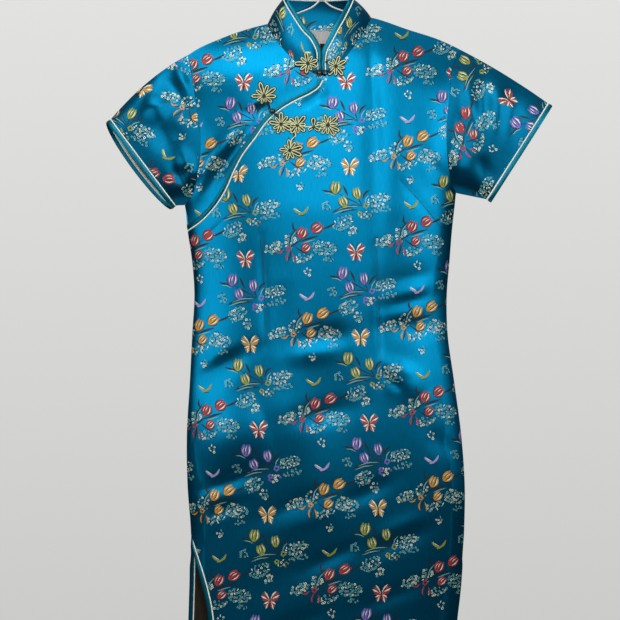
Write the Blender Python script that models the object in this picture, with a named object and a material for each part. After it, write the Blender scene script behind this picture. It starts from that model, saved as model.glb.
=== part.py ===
"""A sleeved satin cheongsam hanging on a wire hanger.

Sizes are in millimetres until a mesh is made. X runs to the viewer's right, Y to the back and
Z up. The origin is the inside top of the hanger's hook, where a rail or a wall hook carries it.
Left and right are the viewer's.
"""
import math
from collections import namedtuple

import bmesh
import bpy
import numpy as np

MM = 0.001

# Walls and gaps
CLOTH = 1.6
COLLAR_CLOTH = 2.0
LINING = 1.0
GAP = 0.3
SEAM_Y = GAP / 2
SEAM_SHIFT = 0.36
LINING_DEPTH = CLOTH + GAP

# Levels of the body
HEM_Z = -1098.0
SLIT_Z = -853.0
WAIST_Z = -505.0
UNDERARM_LEFT = (-199.0, -376.0)
UNDERARM_RIGHT = (194.3, -358.4)

# The body's envelope, a row for each level: the side seams, or above the underarms the line that
# the front and back would meet on, and how far each face stands out from the side seams' plane.
Level = namedtuple("Level", "z left right front back")
LEVELS = [
    Level(-100.0, -228.0, 226.0, 34.0, 24.0),
    Level(-200.0, -225.0, 223.0, 37.0, 25.0),
    Level(-300.0, -217.0, 212.0, 40.0, 26.0),
    Level(-358.4, -203.5, 194.3, 40.0, 26.0),
    Level(-376.0, -199.0, 192.5, 40.0, 26.0),
    Level(-412.0, -195.0, 188.5, 38.0, 25.0),
    Level(-456.0, -188.5, 185.0, 34.0, 23.0),
    Level(-505.0, -185.0, 181.0, 31.0, 22.0),
    Level(-560.0, -188.0, 182.0, 32.0, 22.0),
    Level(-630.0, -191.5, 191.4, 34.0, 24.0),
    Level(-710.0, -196.0, 202.0, 36.0, 26.0),
    Level(-782.0, -195.0, 207.0, 36.0, 26.0),
    Level(-853.0, -190.0, 206.0, 36.0, 26.0),
    Level(-930.0, -192.0, 202.0, 35.5, 25.5),
    Level(-978.0, -194.0, 196.5, 35.0, 25.0),
    Level(-1098.0, -198.0, 190.0, 34.0, 24.0),
]
FRONT_RISE = 120.0
BACK_RISE = 80.0
SIDE_ROUNDING = 2.6
SIDE_POWER = 0.75

# The shoulder line, and over the neck the line that would join the shoulders
Point = namedtuple("Point", "x z")
RIDGE = [
    Point(-235.0, -184.0), Point(-194.3, -158.3), Point(-183.0, -151.0), Point(-152.0, -136.6),
    Point(-112.0, -122.0), Point(-79.0, -113.2), Point(-40.0, -106.0), Point(0.0, -101.0),
    Point(40.0, -99.5), Point(71.5, -104.0), Point(125.0, -121.5), Point(173.0, -137.5),
    Point(200.0, -150.3), Point(235.0, -170.0),
]

# Armhole seams, shoulder to underarm
ARMHOLE_FRONT_LEFT = [
    Point(-194.3, -158.3), Point(-182.0, -227.0), Point(-175.5, -281.6),
    Point(-179.8, -333.8), Point(-190.0, -366.0), Point(*UNDERARM_LEFT),
]
ARMHOLE_FRONT_RIGHT = [
    Point(200.0, -150.3), Point(190.0, -172.0), Point(184.0, -219.0), Point(179.8, -286.0),
    Point(184.0, -328.0), Point(190.0, -351.0), Point(*UNDERARM_RIGHT),
]
ARMHOLE_BACK_LEFT = [
    Point(-194.3, -158.3), Point(-187.0, -215.0), Point(-182.0, -280.0),
    Point(-186.0, -335.0), Point(-194.0, -368.0), Point(*UNDERARM_LEFT),
]
ARMHOLE_BACK_RIGHT = [
    Point(200.0, -150.3), Point(192.0, -205.0), Point(186.0, -280.0),
    Point(188.0, -325.0), Point(192.0, -350.0), Point(*UNDERARM_RIGHT),
]

# The collar, a row for each station from the centre front to the shoulder: where it is sewn to
# the neckline, and where its piped edge runs
Station = namedtuple("Station", "base_x base_z top_x top_z top_y")
COLLAR_LEFT = [
    Station(-7.4, -188.0, -8.0, -169.0, -32.0),
    Station(-15.0, -185.0, -9.4, -154.5, -31.5),
    Station(-27.0, -178.5, -17.5, -138.5, -29.5),
    Station(-41.0, -167.5, -29.0, -126.0, -25.5),
    Station(-54.0, -154.0, -40.0, -109.5, -20.0),
    Station(-65.0, -140.0, -48.5, -95.5, -13.5),
    Station(-73.5, -126.0, -54.5, -84.5, -8.5),
    Station(-79.0, -113.2, -57.5, -78.0, 0.0),
]
COLLAR_RIGHT = [
    Station(6.4, -189.5, 6.0, -171.0, -34.0),
    Station(15.0, -182.5, 8.0, -156.5, -33.0),
    Station(27.0, -171.5, 15.5, -141.5, -30.5),
    Station(39.0, -157.5, 25.0, -123.5, -26.5),
    Station(50.0, -142.0, 33.5, -108.5, -20.5),
    Station(60.0, -126.5, 40.0, -95.0, -13.5),
    Station(67.0, -114.0, 45.0, -84.0, -8.5),
    Station(71.5, -104.0, 47.5, -78.0, 0.0),
]
BACK_NECK = [Point(-79.0, -113.2), Point(-45.0, -119.5), Point(-4.0, -121.5), Point(38.0, -117.0),
             Point(71.5, -104.0)]
COLLAR_BACK_TOP = [Point(-57.5, -78.0), Point(-32.0, -79.0), Point(-5.0, -79.5), Point(24.0, -79.0),
                   Point(47.5, -78.0)]
COLLAR_BACK_TOP_Y = 8.0

# The piping along the opening, from the centre front to the side seam
OPENING = [
    Point(1.0, -197.5), Point(-4.5, -207.5), Point(-15.4, -215.5), Point(-37.7, -226.5),
    Point(-59.7, -239.5), Point(-78.0, -255.5), Point(-97.0, -281.3), Point(-116.0, -307.0),
    Point(-127.0, -328.0), Point(-139.0, -355.0), Point(-156.0, -380.6), Point(-177.0, -401.5),
    Point(-195.0, -413.5),
]
OPENING_END_SLANT = 1.35
OPENING_WIDTH_SHARE = 0.58
UNDERLAP_INSET = 2.8
UNDERLAP_FLAT = 10.0
UNDERLAP_FADE = 24.0
UNDERLAP_REACH = 20.0

# The panels' edges beside the slits, a row for each level
Slit = namedtuple("Slit", "z front_left front_right back_left back_right")
SLITS = [
    Slit(-853.0, -190.0, 206.0, -190.0, 206.0),
    Slit(-880.0, -180.5, 204.0, -184.5, 197.0),
    Slit(-911.0, -170.0, 202.0, -184.0, 190.0),
    Slit(-951.0, -159.5, 198.5, -185.0, 184.0),
    Slit(-1000.0, -153.0, 192.5, -186.5, 179.0),
    Slit(-1098.0, -142.0, 188.5, -189.0, 173.0),
]

# Sleeve hems: the lower and the outer corner of the cloth, its depth front to back, how far the
# back half hangs past the front half, and how far the top line bows up
Cuff = namedtuple("Cuff", "lower outer middle_y half_depth back_drop bow")
CUFF_LEFT = Cuff(Point(-211.0, -376.5), Point(-305.5, -250.5), -1.0, 19.0, 11.0, 9.0)
CUFF_RIGHT = Cuff(Point(237.8, -367.9), Point(327.0, -227.3), -2.0, 16.0, 0.0, 3.0)

# Edge trims
PIPING = 1.05
BINDING = 6.0
COLLAR_BINDING = 4.0
COLLAR_BINDING_GROWTH = 1.6
BINDING_TOP = 0.1
BINDING_BOTTOM = 1.9
TRIM_START = GAP + 2 * PIPING + GAP

# The largest folds: a soft trough along a line, deepest in its middle; a negative depth is a ridge
Fold = namedtuple("Fold", "x0 z0 x1 z1 width depth")
FRONT_FOLDS = [
    Fold(66.0, -150.0, 80.0, -440.0, 15.0, 3.5),
    Fold(100.0, -170.0, 112.0, -420.0, 22.0, -2.5),
    Fold(-186.0, -640.0, -100.0, -570.0, 17.0, 6.0),
    Fold(-178.0, -668.0, -92.0, -604.0, 18.0, -4.0),
    Fold(90.0, -500.0, 176.0, -478.0, 14.0, 4.0),
    Fold(84.0, -545.0, 176.0, -540.0, 18.0, 4.5),
    Fold(92.0, -610.0, 150.0, -655.0, 20.0, -3.5),
    Fold(-186.0, -800.0, -80.0, -758.0, 20.0, 4.0),
    Fold(-160.0, -850.0, 20.0, -775.0, 26.0, 3.5),
    Fold(-120.0, -940.0, 70.0, -850.0, 30.0, 3.5),
    Fold(-40.0, -1040.0, 150.0, -960.0, 34.0, 3.0),
]
BACK_FOLDS = [
    Fold(-90.0, -560.0, -176.0, -600.0, 18.0, 5.0),
    Fold(70.0, -545.0, 172.0, -580.0, 18.0, 5.0),
    Fold(-120.0, -830.0, 60.0, -760.0, 26.0, 3.5),
    Fold(-60.0, -1000.0, 130.0, -920.0, 32.0, 3.0),
]

# Grid counts
OPENING_SEGMENTS = 11
NECK_SEGMENTS = len(COLLAR_RIGHT) - 1
SHOULDER_SEGMENTS = 6
BACK_SHOULDER_SEGMENTS = 5
UNDERLAP_SHOULDER_SEGMENTS = 8
BACK_NECK_SEGMENTS = 8
ARMHOLE_SEGMENTS = 8
SKIRT_ROWS = 11
WAIST_ROWS = 4
SLIT_ROWS = 5
BACK_ROWS = 12
UNDERLAP_SIDE_ROWS = 2
SLEEVE_ROWS = 5
COLLAR_ROWS = 3

# Frogs: rosettes of cord with their centres, radii and turns in degrees; the surface is the
# panel that each is sewn to
Rosette = namedtuple("Rosette", "name x z radius turn panel lift")
ROSETTES = [
    Rosette("frog_neck_left", -20.5, -173.0, 13.0, 20.0, "underlap", 1.8),
    Rosette("frog_neck_right", 19.5, -177.0, 12.5, 70.0, "front", 1.4),
    Rosette("frog_chest_upper", -83.4, -216.5, 15.0, 35.0, "underlap", 0.5),
    Rosette("frog_chest_a", -58.0, -260.0, 13.0, 10.0, "front", 0.5),
    Rosette("frog_chest_b", -33.0, -261.5, 11.5, 50.0, "front", 0.5),
    Rosette("frog_chest_c", -12.5, -264.0, 7.5, 25.0, "front", 0.5),
    Rosette("frog_chest_d", 8.5, -260.5, 13.0, 40.0, "front", 0.5),
    Rosette("frog_chest_e", -45.5, -297.0, 12.0, 15.0, "front", 0.5),
]
PETALS = 7
PETAL_SAMPLES = 4
PETAL_NOTCH = 0.24
ROSETTE_HEIGHT = 2.6
ROSETTE_RIM = 1.5
ROSETTE_HEART = 1.6

# Frog links: short cords from point to point, and the knot buttons
Link = namedtuple("Link", "name x0 z0 x1 z1 panel lift")
LINKS = [
    Link("frog_loop_upper", -80.5, -232.5, -76.0, -238.0, "underlap", 0.5),
    Link("frog_loop_lower", -66.0, -246.4, -64.6, -248.8, "front", 0.7),
    Link("frog_link_e", -39.5, -274.2, -42.0, -283.8, "front", 0.4),
]
LINK_RADIUS = 1.7
KNOT_RADIUS = 4.2
Knot = namedtuple("Knot", "name x z panel lift")
KNOTS = [
    Knot("knot_neck", -2.0, -193.0, "front", 0.5),
    Knot("knot_chest", -71.0, -242.6, "front", 0.7),
]

# Label and tab, in columns and rows of the back's grid from the middle of its neck edge
LABEL_HALF_COLUMNS = 1.08
LABEL_TOP, LABEL_BOTTOM = 0.08, 0.70
TAB_HALF_COLUMNS = 0.24
TAB_TOP, TAB_BOTTOM = 0.715, 0.92
LABEL_THICKNESS = 0.5

# The hanger: wire and hook radii, and the loop's path from the shank round to its end
WIRE_RADIUS = 1.4
HOOK_RADIUS = 19.0
HOOK_TIP_ANGLE = 200.0
HOOK_SHANK_ANGLE = -48.0
WIRE_SIDES = 8
HANGER_SHANK = [Point(6.0, -45.0), Point(0.4, -55.0), Point(0.0, -66.0)]
HANGER_LOOP = [
    Point(0.0, -75.0), Point(7.0, -83.0), Point(40.0, -98.0), Point(60.0, -107.5),
    Point(76.0, -116.0), Point(112.0, -128.0), Point(150.0, -141.0), Point(170.0, -150.0),
    Point(179.0, -158.0), Point(180.0, -167.0), Point(172.0, -174.5), Point(120.0, -177.5),
    Point(0.0, -178.5), Point(-120.0, -179.5), Point(-170.0, -180.5), Point(-177.5, -176.5),
    Point(-178.0, -168.0), Point(-170.0, -159.0), Point(-150.0, -147.5), Point(-112.0, -133.0),
    Point(-80.0, -123.0), Point(-60.0, -111.5), Point(-40.0, -100.0), Point(-10.0, -85.5),
    Point(-4.4, -79.5), Point(-3.5, -70.0), Point(-3.5, -62.0),
]

# Colours as linear red, green and blue, with roughness and metal
SATIN = ((0.0, 0.22, 0.42), 0.36, 0.0)
TEAL = ((0.0, 0.11, 0.13), 0.45, 0.0)
CREAM = ((0.70, 0.80, 0.66), 0.5, 0.0)
LINING_COLOUR = ((0.14, 0.09, 0.03), 0.55, 0.0)
GOLD = ((0.62, 0.58, 0.20), 0.45, 0.0)
LABEL_WHITE = ((0.80, 0.79, 0.76), 0.6, 0.0)
WIRE_WHITE = ((0.62, 0.62, 0.60), 0.35, 0.3)


class Curve:
    """A smooth curve through a table's rows: cubic between the rows, level past its ends."""

    def __init__(self, keys, values):
        order = np.argsort(keys)
        self.keys = np.asarray(keys, float)[order]
        self.values = np.asarray(values, float)[order]
        self.slopes = np.gradient(self.values, self.keys)

    def __call__(self, key):
        key = min(max(key, self.keys[0]), self.keys[-1])
        i = min(max(int(np.searchsorted(self.keys, key)) - 1, 0), len(self.keys) - 2)
        step = self.keys[i + 1] - self.keys[i]
        t = (key - self.keys[i]) / step
        return float(
            (1 + 2 * t) * (1 - t) ** 2 * self.values[i]
            + t * (1 - t) ** 2 * step * self.slopes[i]
            + t * t * (3 - 2 * t) * self.values[i + 1]
            + t * t * (t - 1) * step * self.slopes[i + 1])


def unit(vector):
    return vector / np.linalg.norm(vector)


def dense_path(points, count=400):
    """A smooth line through points, as many close steps."""
    points = np.array([tuple(p) for p in points], float)
    lengths = np.concatenate([[0.0], np.cumsum(np.linalg.norm(np.diff(points, axis=0), axis=1))])
    axes = [Curve(lengths, points[:, k]) for k in range(points.shape[1])]
    return np.array([[axis(s) for axis in axes] for s in np.linspace(0, lengths[-1], count + 1)])


def even_path(points, segments):
    """A smooth line through points, as a number of equal segments."""
    dense = dense_path(points)
    lengths = np.concatenate([[0.0], np.cumsum(np.linalg.norm(np.diff(dense, axis=0), axis=1))])
    stations = np.linspace(0, lengths[-1], segments + 1)
    return np.stack([np.interp(stations, lengths, dense[:, k]) for k in range(dense.shape[1])], 1)


def level_curve(name):
    return Curve([row.z for row in LEVELS], [getattr(row, name) for row in LEVELS])


LEFT, RIGHT = level_curve("left"), level_curve("right")
DEPTH = {"front": level_curve("front"), "back": level_curve("back")}
RIDGE_Z = Curve([p.x for p in RIDGE], [p.z for p in RIDGE])
OPENING_LINE = dense_path(OPENING)


def fold_depth(folds, x, z):
    """How far the folds push the cloth in at a place."""
    total = 0.0
    for fold in folds:
        run = np.array([fold.x1 - fold.x0, fold.z1 - fold.z0])
        length = np.linalg.norm(run)
        offset = np.array([x - fold.x0, z - fold.z0])
        s = float(offset @ run) / length ** 2
        across = float(offset[0] * run[1] - offset[1] * run[0]) / length
        past_end = max(-s, s - 1.0, 0.0) * length
        taper = math.sin(math.pi * min(max(s, 0.08), 0.92))
        total += fold.depth * taper * math.exp(-(across ** 2 + past_end ** 2) / fold.width ** 2)
    return total


def face_y(side, x, z):
    """Y of the dress's outer face; the front is negative."""
    middle, half = (LEFT(z) + RIGHT(z)) / 2, (RIGHT(z) - LEFT(z)) / 2
    t = min(abs(x - middle) / half, 1.0)
    across = (1 - t ** SIDE_ROUNDING) ** SIDE_POWER
    rise_height = FRONT_RISE if side == "front" else BACK_RISE
    u = min(max((RIDGE_Z(x) - z) / rise_height, 0.0), 1.0)
    share = across * (1 - (1 - u) ** 3)
    folds = fold_depth(FRONT_FOLDS if side == "front" else BACK_FOLDS, x, z)
    out = (DEPTH[side](z) - folds) * share
    return -out if side == "front" else out


def face(side, x, z):
    """A point of the outer face and the direction out of the cloth there."""
    step = 0.5
    slope_x = (face_y(side, x + step, z) - face_y(side, x - step, z)) / (2 * step)
    slope_z = (face_y(side, x, z + step) - face_y(side, x, z - step)) / (2 * step)
    sign = -1.0 if side == "front" else 1.0
    seam = sign * SEAM_Y
    y = face_y(side, x, z)
    if abs(y) < SEAM_Y:
        y = seam
    return np.array([x, y, z]), unit(sign * np.array([-slope_x, 1.0, -slope_z]))


def opening_distance(x, z):
    """Distance from the opening's piping, positive on the underlap's open side."""
    gaps = OPENING_LINE - np.array([x, z])
    i = int(np.argmin((gaps ** 2).sum(axis=1)))
    near = min(max(i, 1), len(OPENING_LINE) - 2)
    run = OPENING_LINE[near + 1] - OPENING_LINE[near - 1]
    side = run[0] * -gaps[i][1] - run[1] * -gaps[i][0]
    return math.copysign(math.hypot(*gaps[i]), -side)


def underlap_inset(x, z):
    """How far the underlap lies under the front's outer face."""
    fade = (opening_distance(x, z) - UNDERLAP_FLAT) / UNDERLAP_FADE
    fade = min(max(fade, 0.0), 1.0)
    return UNDERLAP_INSET * (1 - fade * fade * (3 - 2 * fade))


def laid(panel, x, z, lift):
    """A point that lies a lift above a panel's outer face."""
    point, out = face("front", x, z)
    inset = underlap_inset(x, z) if panel == "underlap" else 0.0
    return point + out * (lift - inset)


def coons(bottom, top, left, right, widths=None):
    """A grid of points between four edge lines; rows run from the bottom to the top."""
    rows, columns = len(left) - 1, len(bottom) - 1
    grid = np.zeros((rows + 1, columns + 1, 2))
    for r in range(rows + 1):
        v = r / rows
        for c in range(columns + 1):
            u = c / columns if widths is None else widths[c]
            ruled = (1 - v) * bottom[c] + v * top[c] + (1 - u) * left[r] + u * right[r]
            corners = ((1 - u) * (1 - v) * bottom[0] + u * (1 - v) * bottom[-1]
                       + (1 - u) * v * top[0] + u * v * top[-1])
            grid[r, c] = ruled - corners
    return grid


def fit_panel(side, flat):
    """Lay a flat grid on a face of the dress: its points, and the way out at each."""
    points = np.zeros(flat.shape[:2] + (3,))
    out = np.zeros_like(points)
    for r in range(flat.shape[0]):
        for c in range(flat.shape[1]):
            points[r, c], out[r, c] = face(side, *flat[r, c])
    return points, out


def set_seam(points, out, index, side, direction):
    """Bring an edge point onto its seam, with the cloth's edge square to the seam."""
    points[index][1] = -SEAM_Y if side == "front" else SEAM_Y
    out[index] = unit(np.array(direction, float))


def shoulder_out(x):
    """The way out of the cloth at the shoulder seam."""
    slope = (RIDGE_Z(x + 1) - RIDGE_Z(x - 1)) / 2
    return unit(np.array([-slope, 0.0, 1.0]))


def side_line(edge, levels):
    """A side seam or slit edge through levels, as flat points."""
    slit = Curve([row.z for row in SLITS], [getattr(row, edge) for row in SLITS])
    seam = LEFT if edge.endswith("left") else RIGHT
    return np.array([[seam(z) if z > SLIT_Z else slit(z), z] for z in levels])


def shoulder_line(x0, x1, segments):
    return np.array([[x, RIDGE_Z(x)] for x in np.linspace(x0, x1, segments + 1)])


def opening_line(shift):
    """The opening's line moved sideways; a positive shift is towards the underlap."""
    line = even_path(OPENING, OPENING_SEGMENTS)
    moved = line.copy()
    for i in range(len(line)):
        run = unit(line[min(i + 1, len(line) - 1)] - line[max(i - 1, 0)])
        moved[i] = line[i] + shift * np.array([run[1], -run[0]])
    end_z = line[-1][1] + shift * OPENING_END_SLANT
    moved[-1] = (LEFT(end_z), end_z)
    return moved


def make_front():
    """The front panel, from the hem to the waist and on to the opening, neck and shoulder."""
    opening = opening_line(-(PIPING + GAP))[::-1]
    neck = np.array([[row.base_x, row.base_z] for row in COLLAR_RIGHT])
    shoulder = shoulder_line(COLLAR_RIGHT[-1].base_x, ARMHOLE_FRONT_RIGHT[0].x, SHOULDER_SEGMENTS)
    top = np.concatenate([opening, neck, shoulder[1:]])
    columns = len(top) - 1
    widths = np.interp(np.arange(columns + 1), [0, OPENING_SEGMENTS + 1, columns],
                       [0, OPENING_WIDTH_SHARE, 1])
    slit_levels = np.linspace(HEM_Z, SLIT_Z, SLIT_ROWS + 1)
    seam_levels = np.linspace(SLIT_Z, WAIST_Z, SKIRT_ROWS - SLIT_ROWS + 1)[1:]
    skirt_levels = np.concatenate([slit_levels, seam_levels])
    left = side_line("front_left", skirt_levels)
    right = side_line("front_right", skirt_levels)
    hem = np.outer(1 - widths, left[0]) + np.outer(widths, right[0])
    waist = np.outer(1 - widths, left[-1]) + np.outer(widths, right[-1])
    skirt = coons(hem, waist, left, right, widths)
    armhole = even_path(ARMHOLE_FRONT_RIGHT, ARMHOLE_SEGMENTS)[::-1]
    bodice_right = np.concatenate([
        side_line("front_right", np.linspace(WAIST_Z, UNDERARM_RIGHT[1], WAIST_ROWS + 1)),
        armhole[1:]])
    bodice_left = side_line(
        "front_left", np.linspace(WAIST_Z, top[0][1], WAIST_ROWS + ARMHOLE_SEGMENTS + 1))
    bodice = coons(waist, top, bodice_left, bodice_right, widths)
    flat = np.concatenate([skirt, bodice[1:]])
    points, out = fit_panel("front", flat)
    rows = len(flat) - 1
    for r in range(SLIT_ROWS, rows + 1):
        set_seam(points, out, (r, 0), "front", (-1, 0, 0))
    for r in range(SLIT_ROWS, rows - ARMHOLE_SEGMENTS + 1):
        set_seam(points, out, (r, columns), "front", (1, 0, 0))
    for c in range(columns - SHOULDER_SEGMENTS, columns + 1):
        set_seam(points, out, (rows, c), "front", shoulder_out(points[rows, c][0]))
    return points, out


def make_underlap():
    """The small front piece under the opening, from its hidden edge up to the shoulder."""
    armhole = even_path(ARMHOLE_FRONT_LEFT, ARMHOLE_SEGMENTS)[::-1]
    hidden = even_path(OPENING, UNDERLAP_SHOULDER_SEGMENTS)
    for i in range(len(hidden)):
        run = unit(hidden[min(i + 1, len(hidden) - 1)] - hidden[max(i - 1, 0)])
        hidden[i] -= UNDERLAP_REACH * np.array([run[1], -run[0]])
    low_z = OPENING[-1].z - UNDERLAP_REACH * OPENING_END_SLANT
    hidden[-1] = (LEFT(low_z), low_z)
    bottom = hidden[::-1]
    left = np.concatenate([
        side_line("front_left", np.linspace(low_z, UNDERARM_LEFT[1], UNDERLAP_SIDE_ROWS + 1)),
        armhole[1:]])
    neck = np.array([[row.base_x, row.base_z] for row in COLLAR_LEFT])
    end_rows = len(left) - len(neck)
    end = np.array([hidden[0] + (neck[0] - hidden[0]) * k / end_rows for k in range(end_rows)])
    right = np.concatenate([end, neck])
    top = shoulder_line(ARMHOLE_FRONT_LEFT[0].x, COLLAR_LEFT[-1].base_x,
                        UNDERLAP_SHOULDER_SEGMENTS)
    points, out = fit_panel("front", coons(bottom, top, left, right))
    rows, columns = points.shape[0] - 1, points.shape[1] - 1
    for r in range(UNDERLAP_SIDE_ROWS + 1):
        set_seam(points, out, (r, 0), "front", (-1, 0, 0))
    for c in range(columns + 1):
        set_seam(points, out, (rows, c), "front", shoulder_out(points[rows, c][0]))
    for r in range(rows + 1):
        for c in range(columns + 1):
            x, _, z = points[r, c]
            points[r, c] = points[r, c] - out[r, c] * underlap_inset(x, z)
    return points, out, end_rows


def make_back():
    """The back panel, one grid from the hem to the neck and shoulders."""
    left_levels = np.linspace(SLIT_Z, UNDERARM_LEFT[1], BACK_ROWS - SLIT_ROWS + 1)[1:]
    right_levels = np.linspace(SLIT_Z, UNDERARM_RIGHT[1], BACK_ROWS - SLIT_ROWS + 1)[1:]
    slit_levels = np.linspace(HEM_Z, SLIT_Z, SLIT_ROWS + 1)
    left = np.concatenate([
        side_line("back_left", slit_levels), side_line("back_left", left_levels),
        even_path(ARMHOLE_BACK_LEFT, ARMHOLE_SEGMENTS)[::-1][1:]])
    right = np.concatenate([
        side_line("back_right", slit_levels), side_line("back_right", right_levels),
        even_path(ARMHOLE_BACK_RIGHT, ARMHOLE_SEGMENTS)[::-1][1:]])
    top = np.concatenate([
        shoulder_line(ARMHOLE_BACK_LEFT[0].x, BACK_NECK[0].x, BACK_SHOULDER_SEGMENTS),
        even_path(BACK_NECK, BACK_NECK_SEGMENTS)[1:],
        shoulder_line(BACK_NECK[-1].x, ARMHOLE_BACK_RIGHT[0].x, BACK_SHOULDER_SEGMENTS)[1:]])
    columns = len(top) - 1
    widths = np.linspace(0, 1, columns + 1)
    hem = np.outer(1 - widths, left[0]) + np.outer(widths, right[0])
    points, out = fit_panel("back", coons(hem, top, left, right))
    rows = points.shape[0] - 1
    for r in range(SLIT_ROWS, BACK_ROWS + 1):
        set_seam(points, out, (r, 0), "back", (-1, 0, 0))
        set_seam(points, out, (r, columns), "back", (1, 0, 0))
    for c in range(columns + 1):
        if c <= BACK_SHOULDER_SEGMENTS or c >= columns - BACK_SHOULDER_SEGMENTS:
            set_seam(points, out, (rows, c), "back", shoulder_out(points[rows, c][0]))
    return points, out


def grid_out(points, closed, towards):
    """The way out at each point of a free grid, away from the points of a middle line."""
    rows, columns = points.shape[0] - 1, points.shape[1] - 1
    out = np.zeros_like(points)
    for r in range(rows + 1):
        for c in range(columns + 1):
            if closed:
                before, after = (c - 1) % columns, (c + 1) % columns
            else:
                before, after = max(c - 1, 0), min(c + 1, columns)
            along = unit(points[r, after] - points[r, before])
            up = unit(points[min(r + 1, rows), c] - points[max(r - 1, 0), c])
            normal = unit(np.cross(along, up))
            if normal @ (points[r, c] - towards(points[r, c])) < 0:
                normal = -normal
            out[r, c] = normal
    return out


def share_seam(panels, out, edge, closed):
    """Give a seam's two pieces the same way out, so that their edges stay parallel."""
    for c, members in enumerate(edge[:-1] if closed else edge):
        total = unit(sum(panels[name][1][index] for name, index in members))
        total = unit(total + out[0, c])
        for name, index in members:
            panels[name][1][index] = total
        out[0, c] = total


def shift_from_seam(points, out, closed):
    """Move a grid's first row off the seam, in the plane of its cloth."""
    columns = points.shape[1] - 1
    first = points[0].copy()
    for c in range(columns + 1):
        if closed:
            before, after = (c - 1) % columns, (c + 1) % columns
        else:
            before, after = max(c - 1, 0), min(c + 1, columns)
        away = unit(np.cross(unit(first[after] - first[before]), out[0, c]))
        if away @ (points[1, c] - first[c]) < 0:
            away = -away
        points[0, c] = first[c] + away * SEAM_SHIFT


def sleeve_seam(panels, front_name, side):
    """Members of the armhole seam, from the underarm up the front and down the back."""
    front_rows = panels[front_name][0].shape[0] - 1
    back_rows = panels["back"][0].shape[0] - 1
    front_column = 0 if side == "left" else panels[front_name][0].shape[1] - 1
    back_column = 0 if side == "left" else panels["back"][0].shape[1] - 1
    edge = []
    for j in range(2 * ARMHOLE_SEGMENTS + 1):
        if j <= ARMHOLE_SEGMENTS:
            members = [(front_name, (front_rows - ARMHOLE_SEGMENTS + j, front_column))]
        else:
            members = [("back", (back_rows - (j - ARMHOLE_SEGMENTS), back_column))]
        if j == ARMHOLE_SEGMENTS:
            members.append(("back", (back_rows, back_column)))
        if j in (0, 2 * ARMHOLE_SEGMENTS):
            members = [(front_name, (front_rows - ARMHOLE_SEGMENTS, front_column)),
                       ("back", (back_rows - ARMHOLE_SEGMENTS, back_column))]
        edge.append(members)
    return edge


def make_sleeve(panels, front_name, side, cuff):
    """A sleeve: a tube from the armhole seam to its hem."""
    edge = sleeve_seam(panels, front_name, side)
    columns = len(edge) - 1
    lower, outer = np.array(cuff.lower), np.array(cuff.outer)
    away = unit(np.array([lower[1] - outer[1], outer[0] - lower[0]]))
    away = away if away[1] < 0 else -away
    points = np.zeros((SLEEVE_ROWS + 1, columns + 1, 3))
    for c, members in enumerate(edge):
        start = sum(panels[name][0][index] for name, index in members) / len(members)
        angle = math.pi * c / ARMHOLE_SEGMENTS
        flat = lower + (outer - lower) * (1 - math.cos(angle)) / 2
        if c > ARMHOLE_SEGMENTS:
            flat = flat + away * cuff.back_drop * abs(math.sin(angle))
        end = np.array([flat[0], cuff.middle_y - cuff.half_depth * math.sin(angle), flat[1]])
        for r in range(SLEEVE_ROWS + 1):
            s = r / SLEEVE_ROWS
            bow = cuff.bow * 4 * s * (1 - s) * ((1 - math.cos(angle)) / 2) ** 4
            points[r, c] = start + (end - start) * s + np.array([0, 0, bow])

    ring_middles = points[:, :-1].mean(axis=1)
    out = np.zeros_like(points)
    for r in range(SLEEVE_ROWS + 1):
        row_out = grid_out(points, True, lambda p, r=r: ring_middles[r])
        out[r] = row_out[r]
    share_seam(panels, out, edge, True)
    out[0, columns] = out[0, 0]
    shift_from_seam(points, out, True)
    return points, out, np.array([away[0], 0.0, away[1]])


def make_collar(panels, underlap_end_rows):
    """The stand collar: from the neckline to its piped edge, open at the centre front."""
    front_rows = panels["front"][0].shape[0] - 1
    underlap_columns = panels["underlap"][0].shape[1] - 1
    back_rows = panels["back"][0].shape[0] - 1
    edge = []
    for j in range(NECK_SEGMENTS + 1):
        edge.append([("underlap", (underlap_end_rows + j, underlap_columns))])
    edge[-1].append(("back", (back_rows, BACK_SHOULDER_SEGMENTS)))
    for j in range(1, BACK_NECK_SEGMENTS + 1):
        edge.append([("back", (back_rows, BACK_SHOULDER_SEGMENTS + j))])
    neck_column = OPENING_SEGMENTS + 1
    edge[-1].append(("front", (front_rows, neck_column + NECK_SEGMENTS)))
    for j in range(NECK_SEGMENTS - 1, -1, -1):
        edge.append([("front", (front_rows, neck_column + j))])
    tops = [(row.top_x, row.top_y, row.top_z) for row in COLLAR_LEFT]
    back_top = even_path(COLLAR_BACK_TOP, BACK_NECK_SEGMENTS)
    for j in range(1, BACK_NECK_SEGMENTS):
        swell = math.sin(math.pi * j / BACK_NECK_SEGMENTS) ** 0.5
        tops.append((back_top[j][0], COLLAR_BACK_TOP_Y * swell, back_top[j][1]))
    tops += [(row.top_x, row.top_y, row.top_z) for row in reversed(COLLAR_RIGHT)]
    points = np.zeros((COLLAR_ROWS + 1, len(edge), 3))
    for c, members in enumerate(edge):
        start = sum(panels[name][0][index] for name, index in members) / len(members)
        for r in range(COLLAR_ROWS + 1):
            points[r, c] = start + (np.array(tops[c]) - start) * r / COLLAR_ROWS
    out = grid_out(points, False, lambda p: np.array([-4.0, -9.0, p[2]]))
    share_seam(panels, out, edge, False)
    shift_from_seam(points, out, False)
    return points, out


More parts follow.
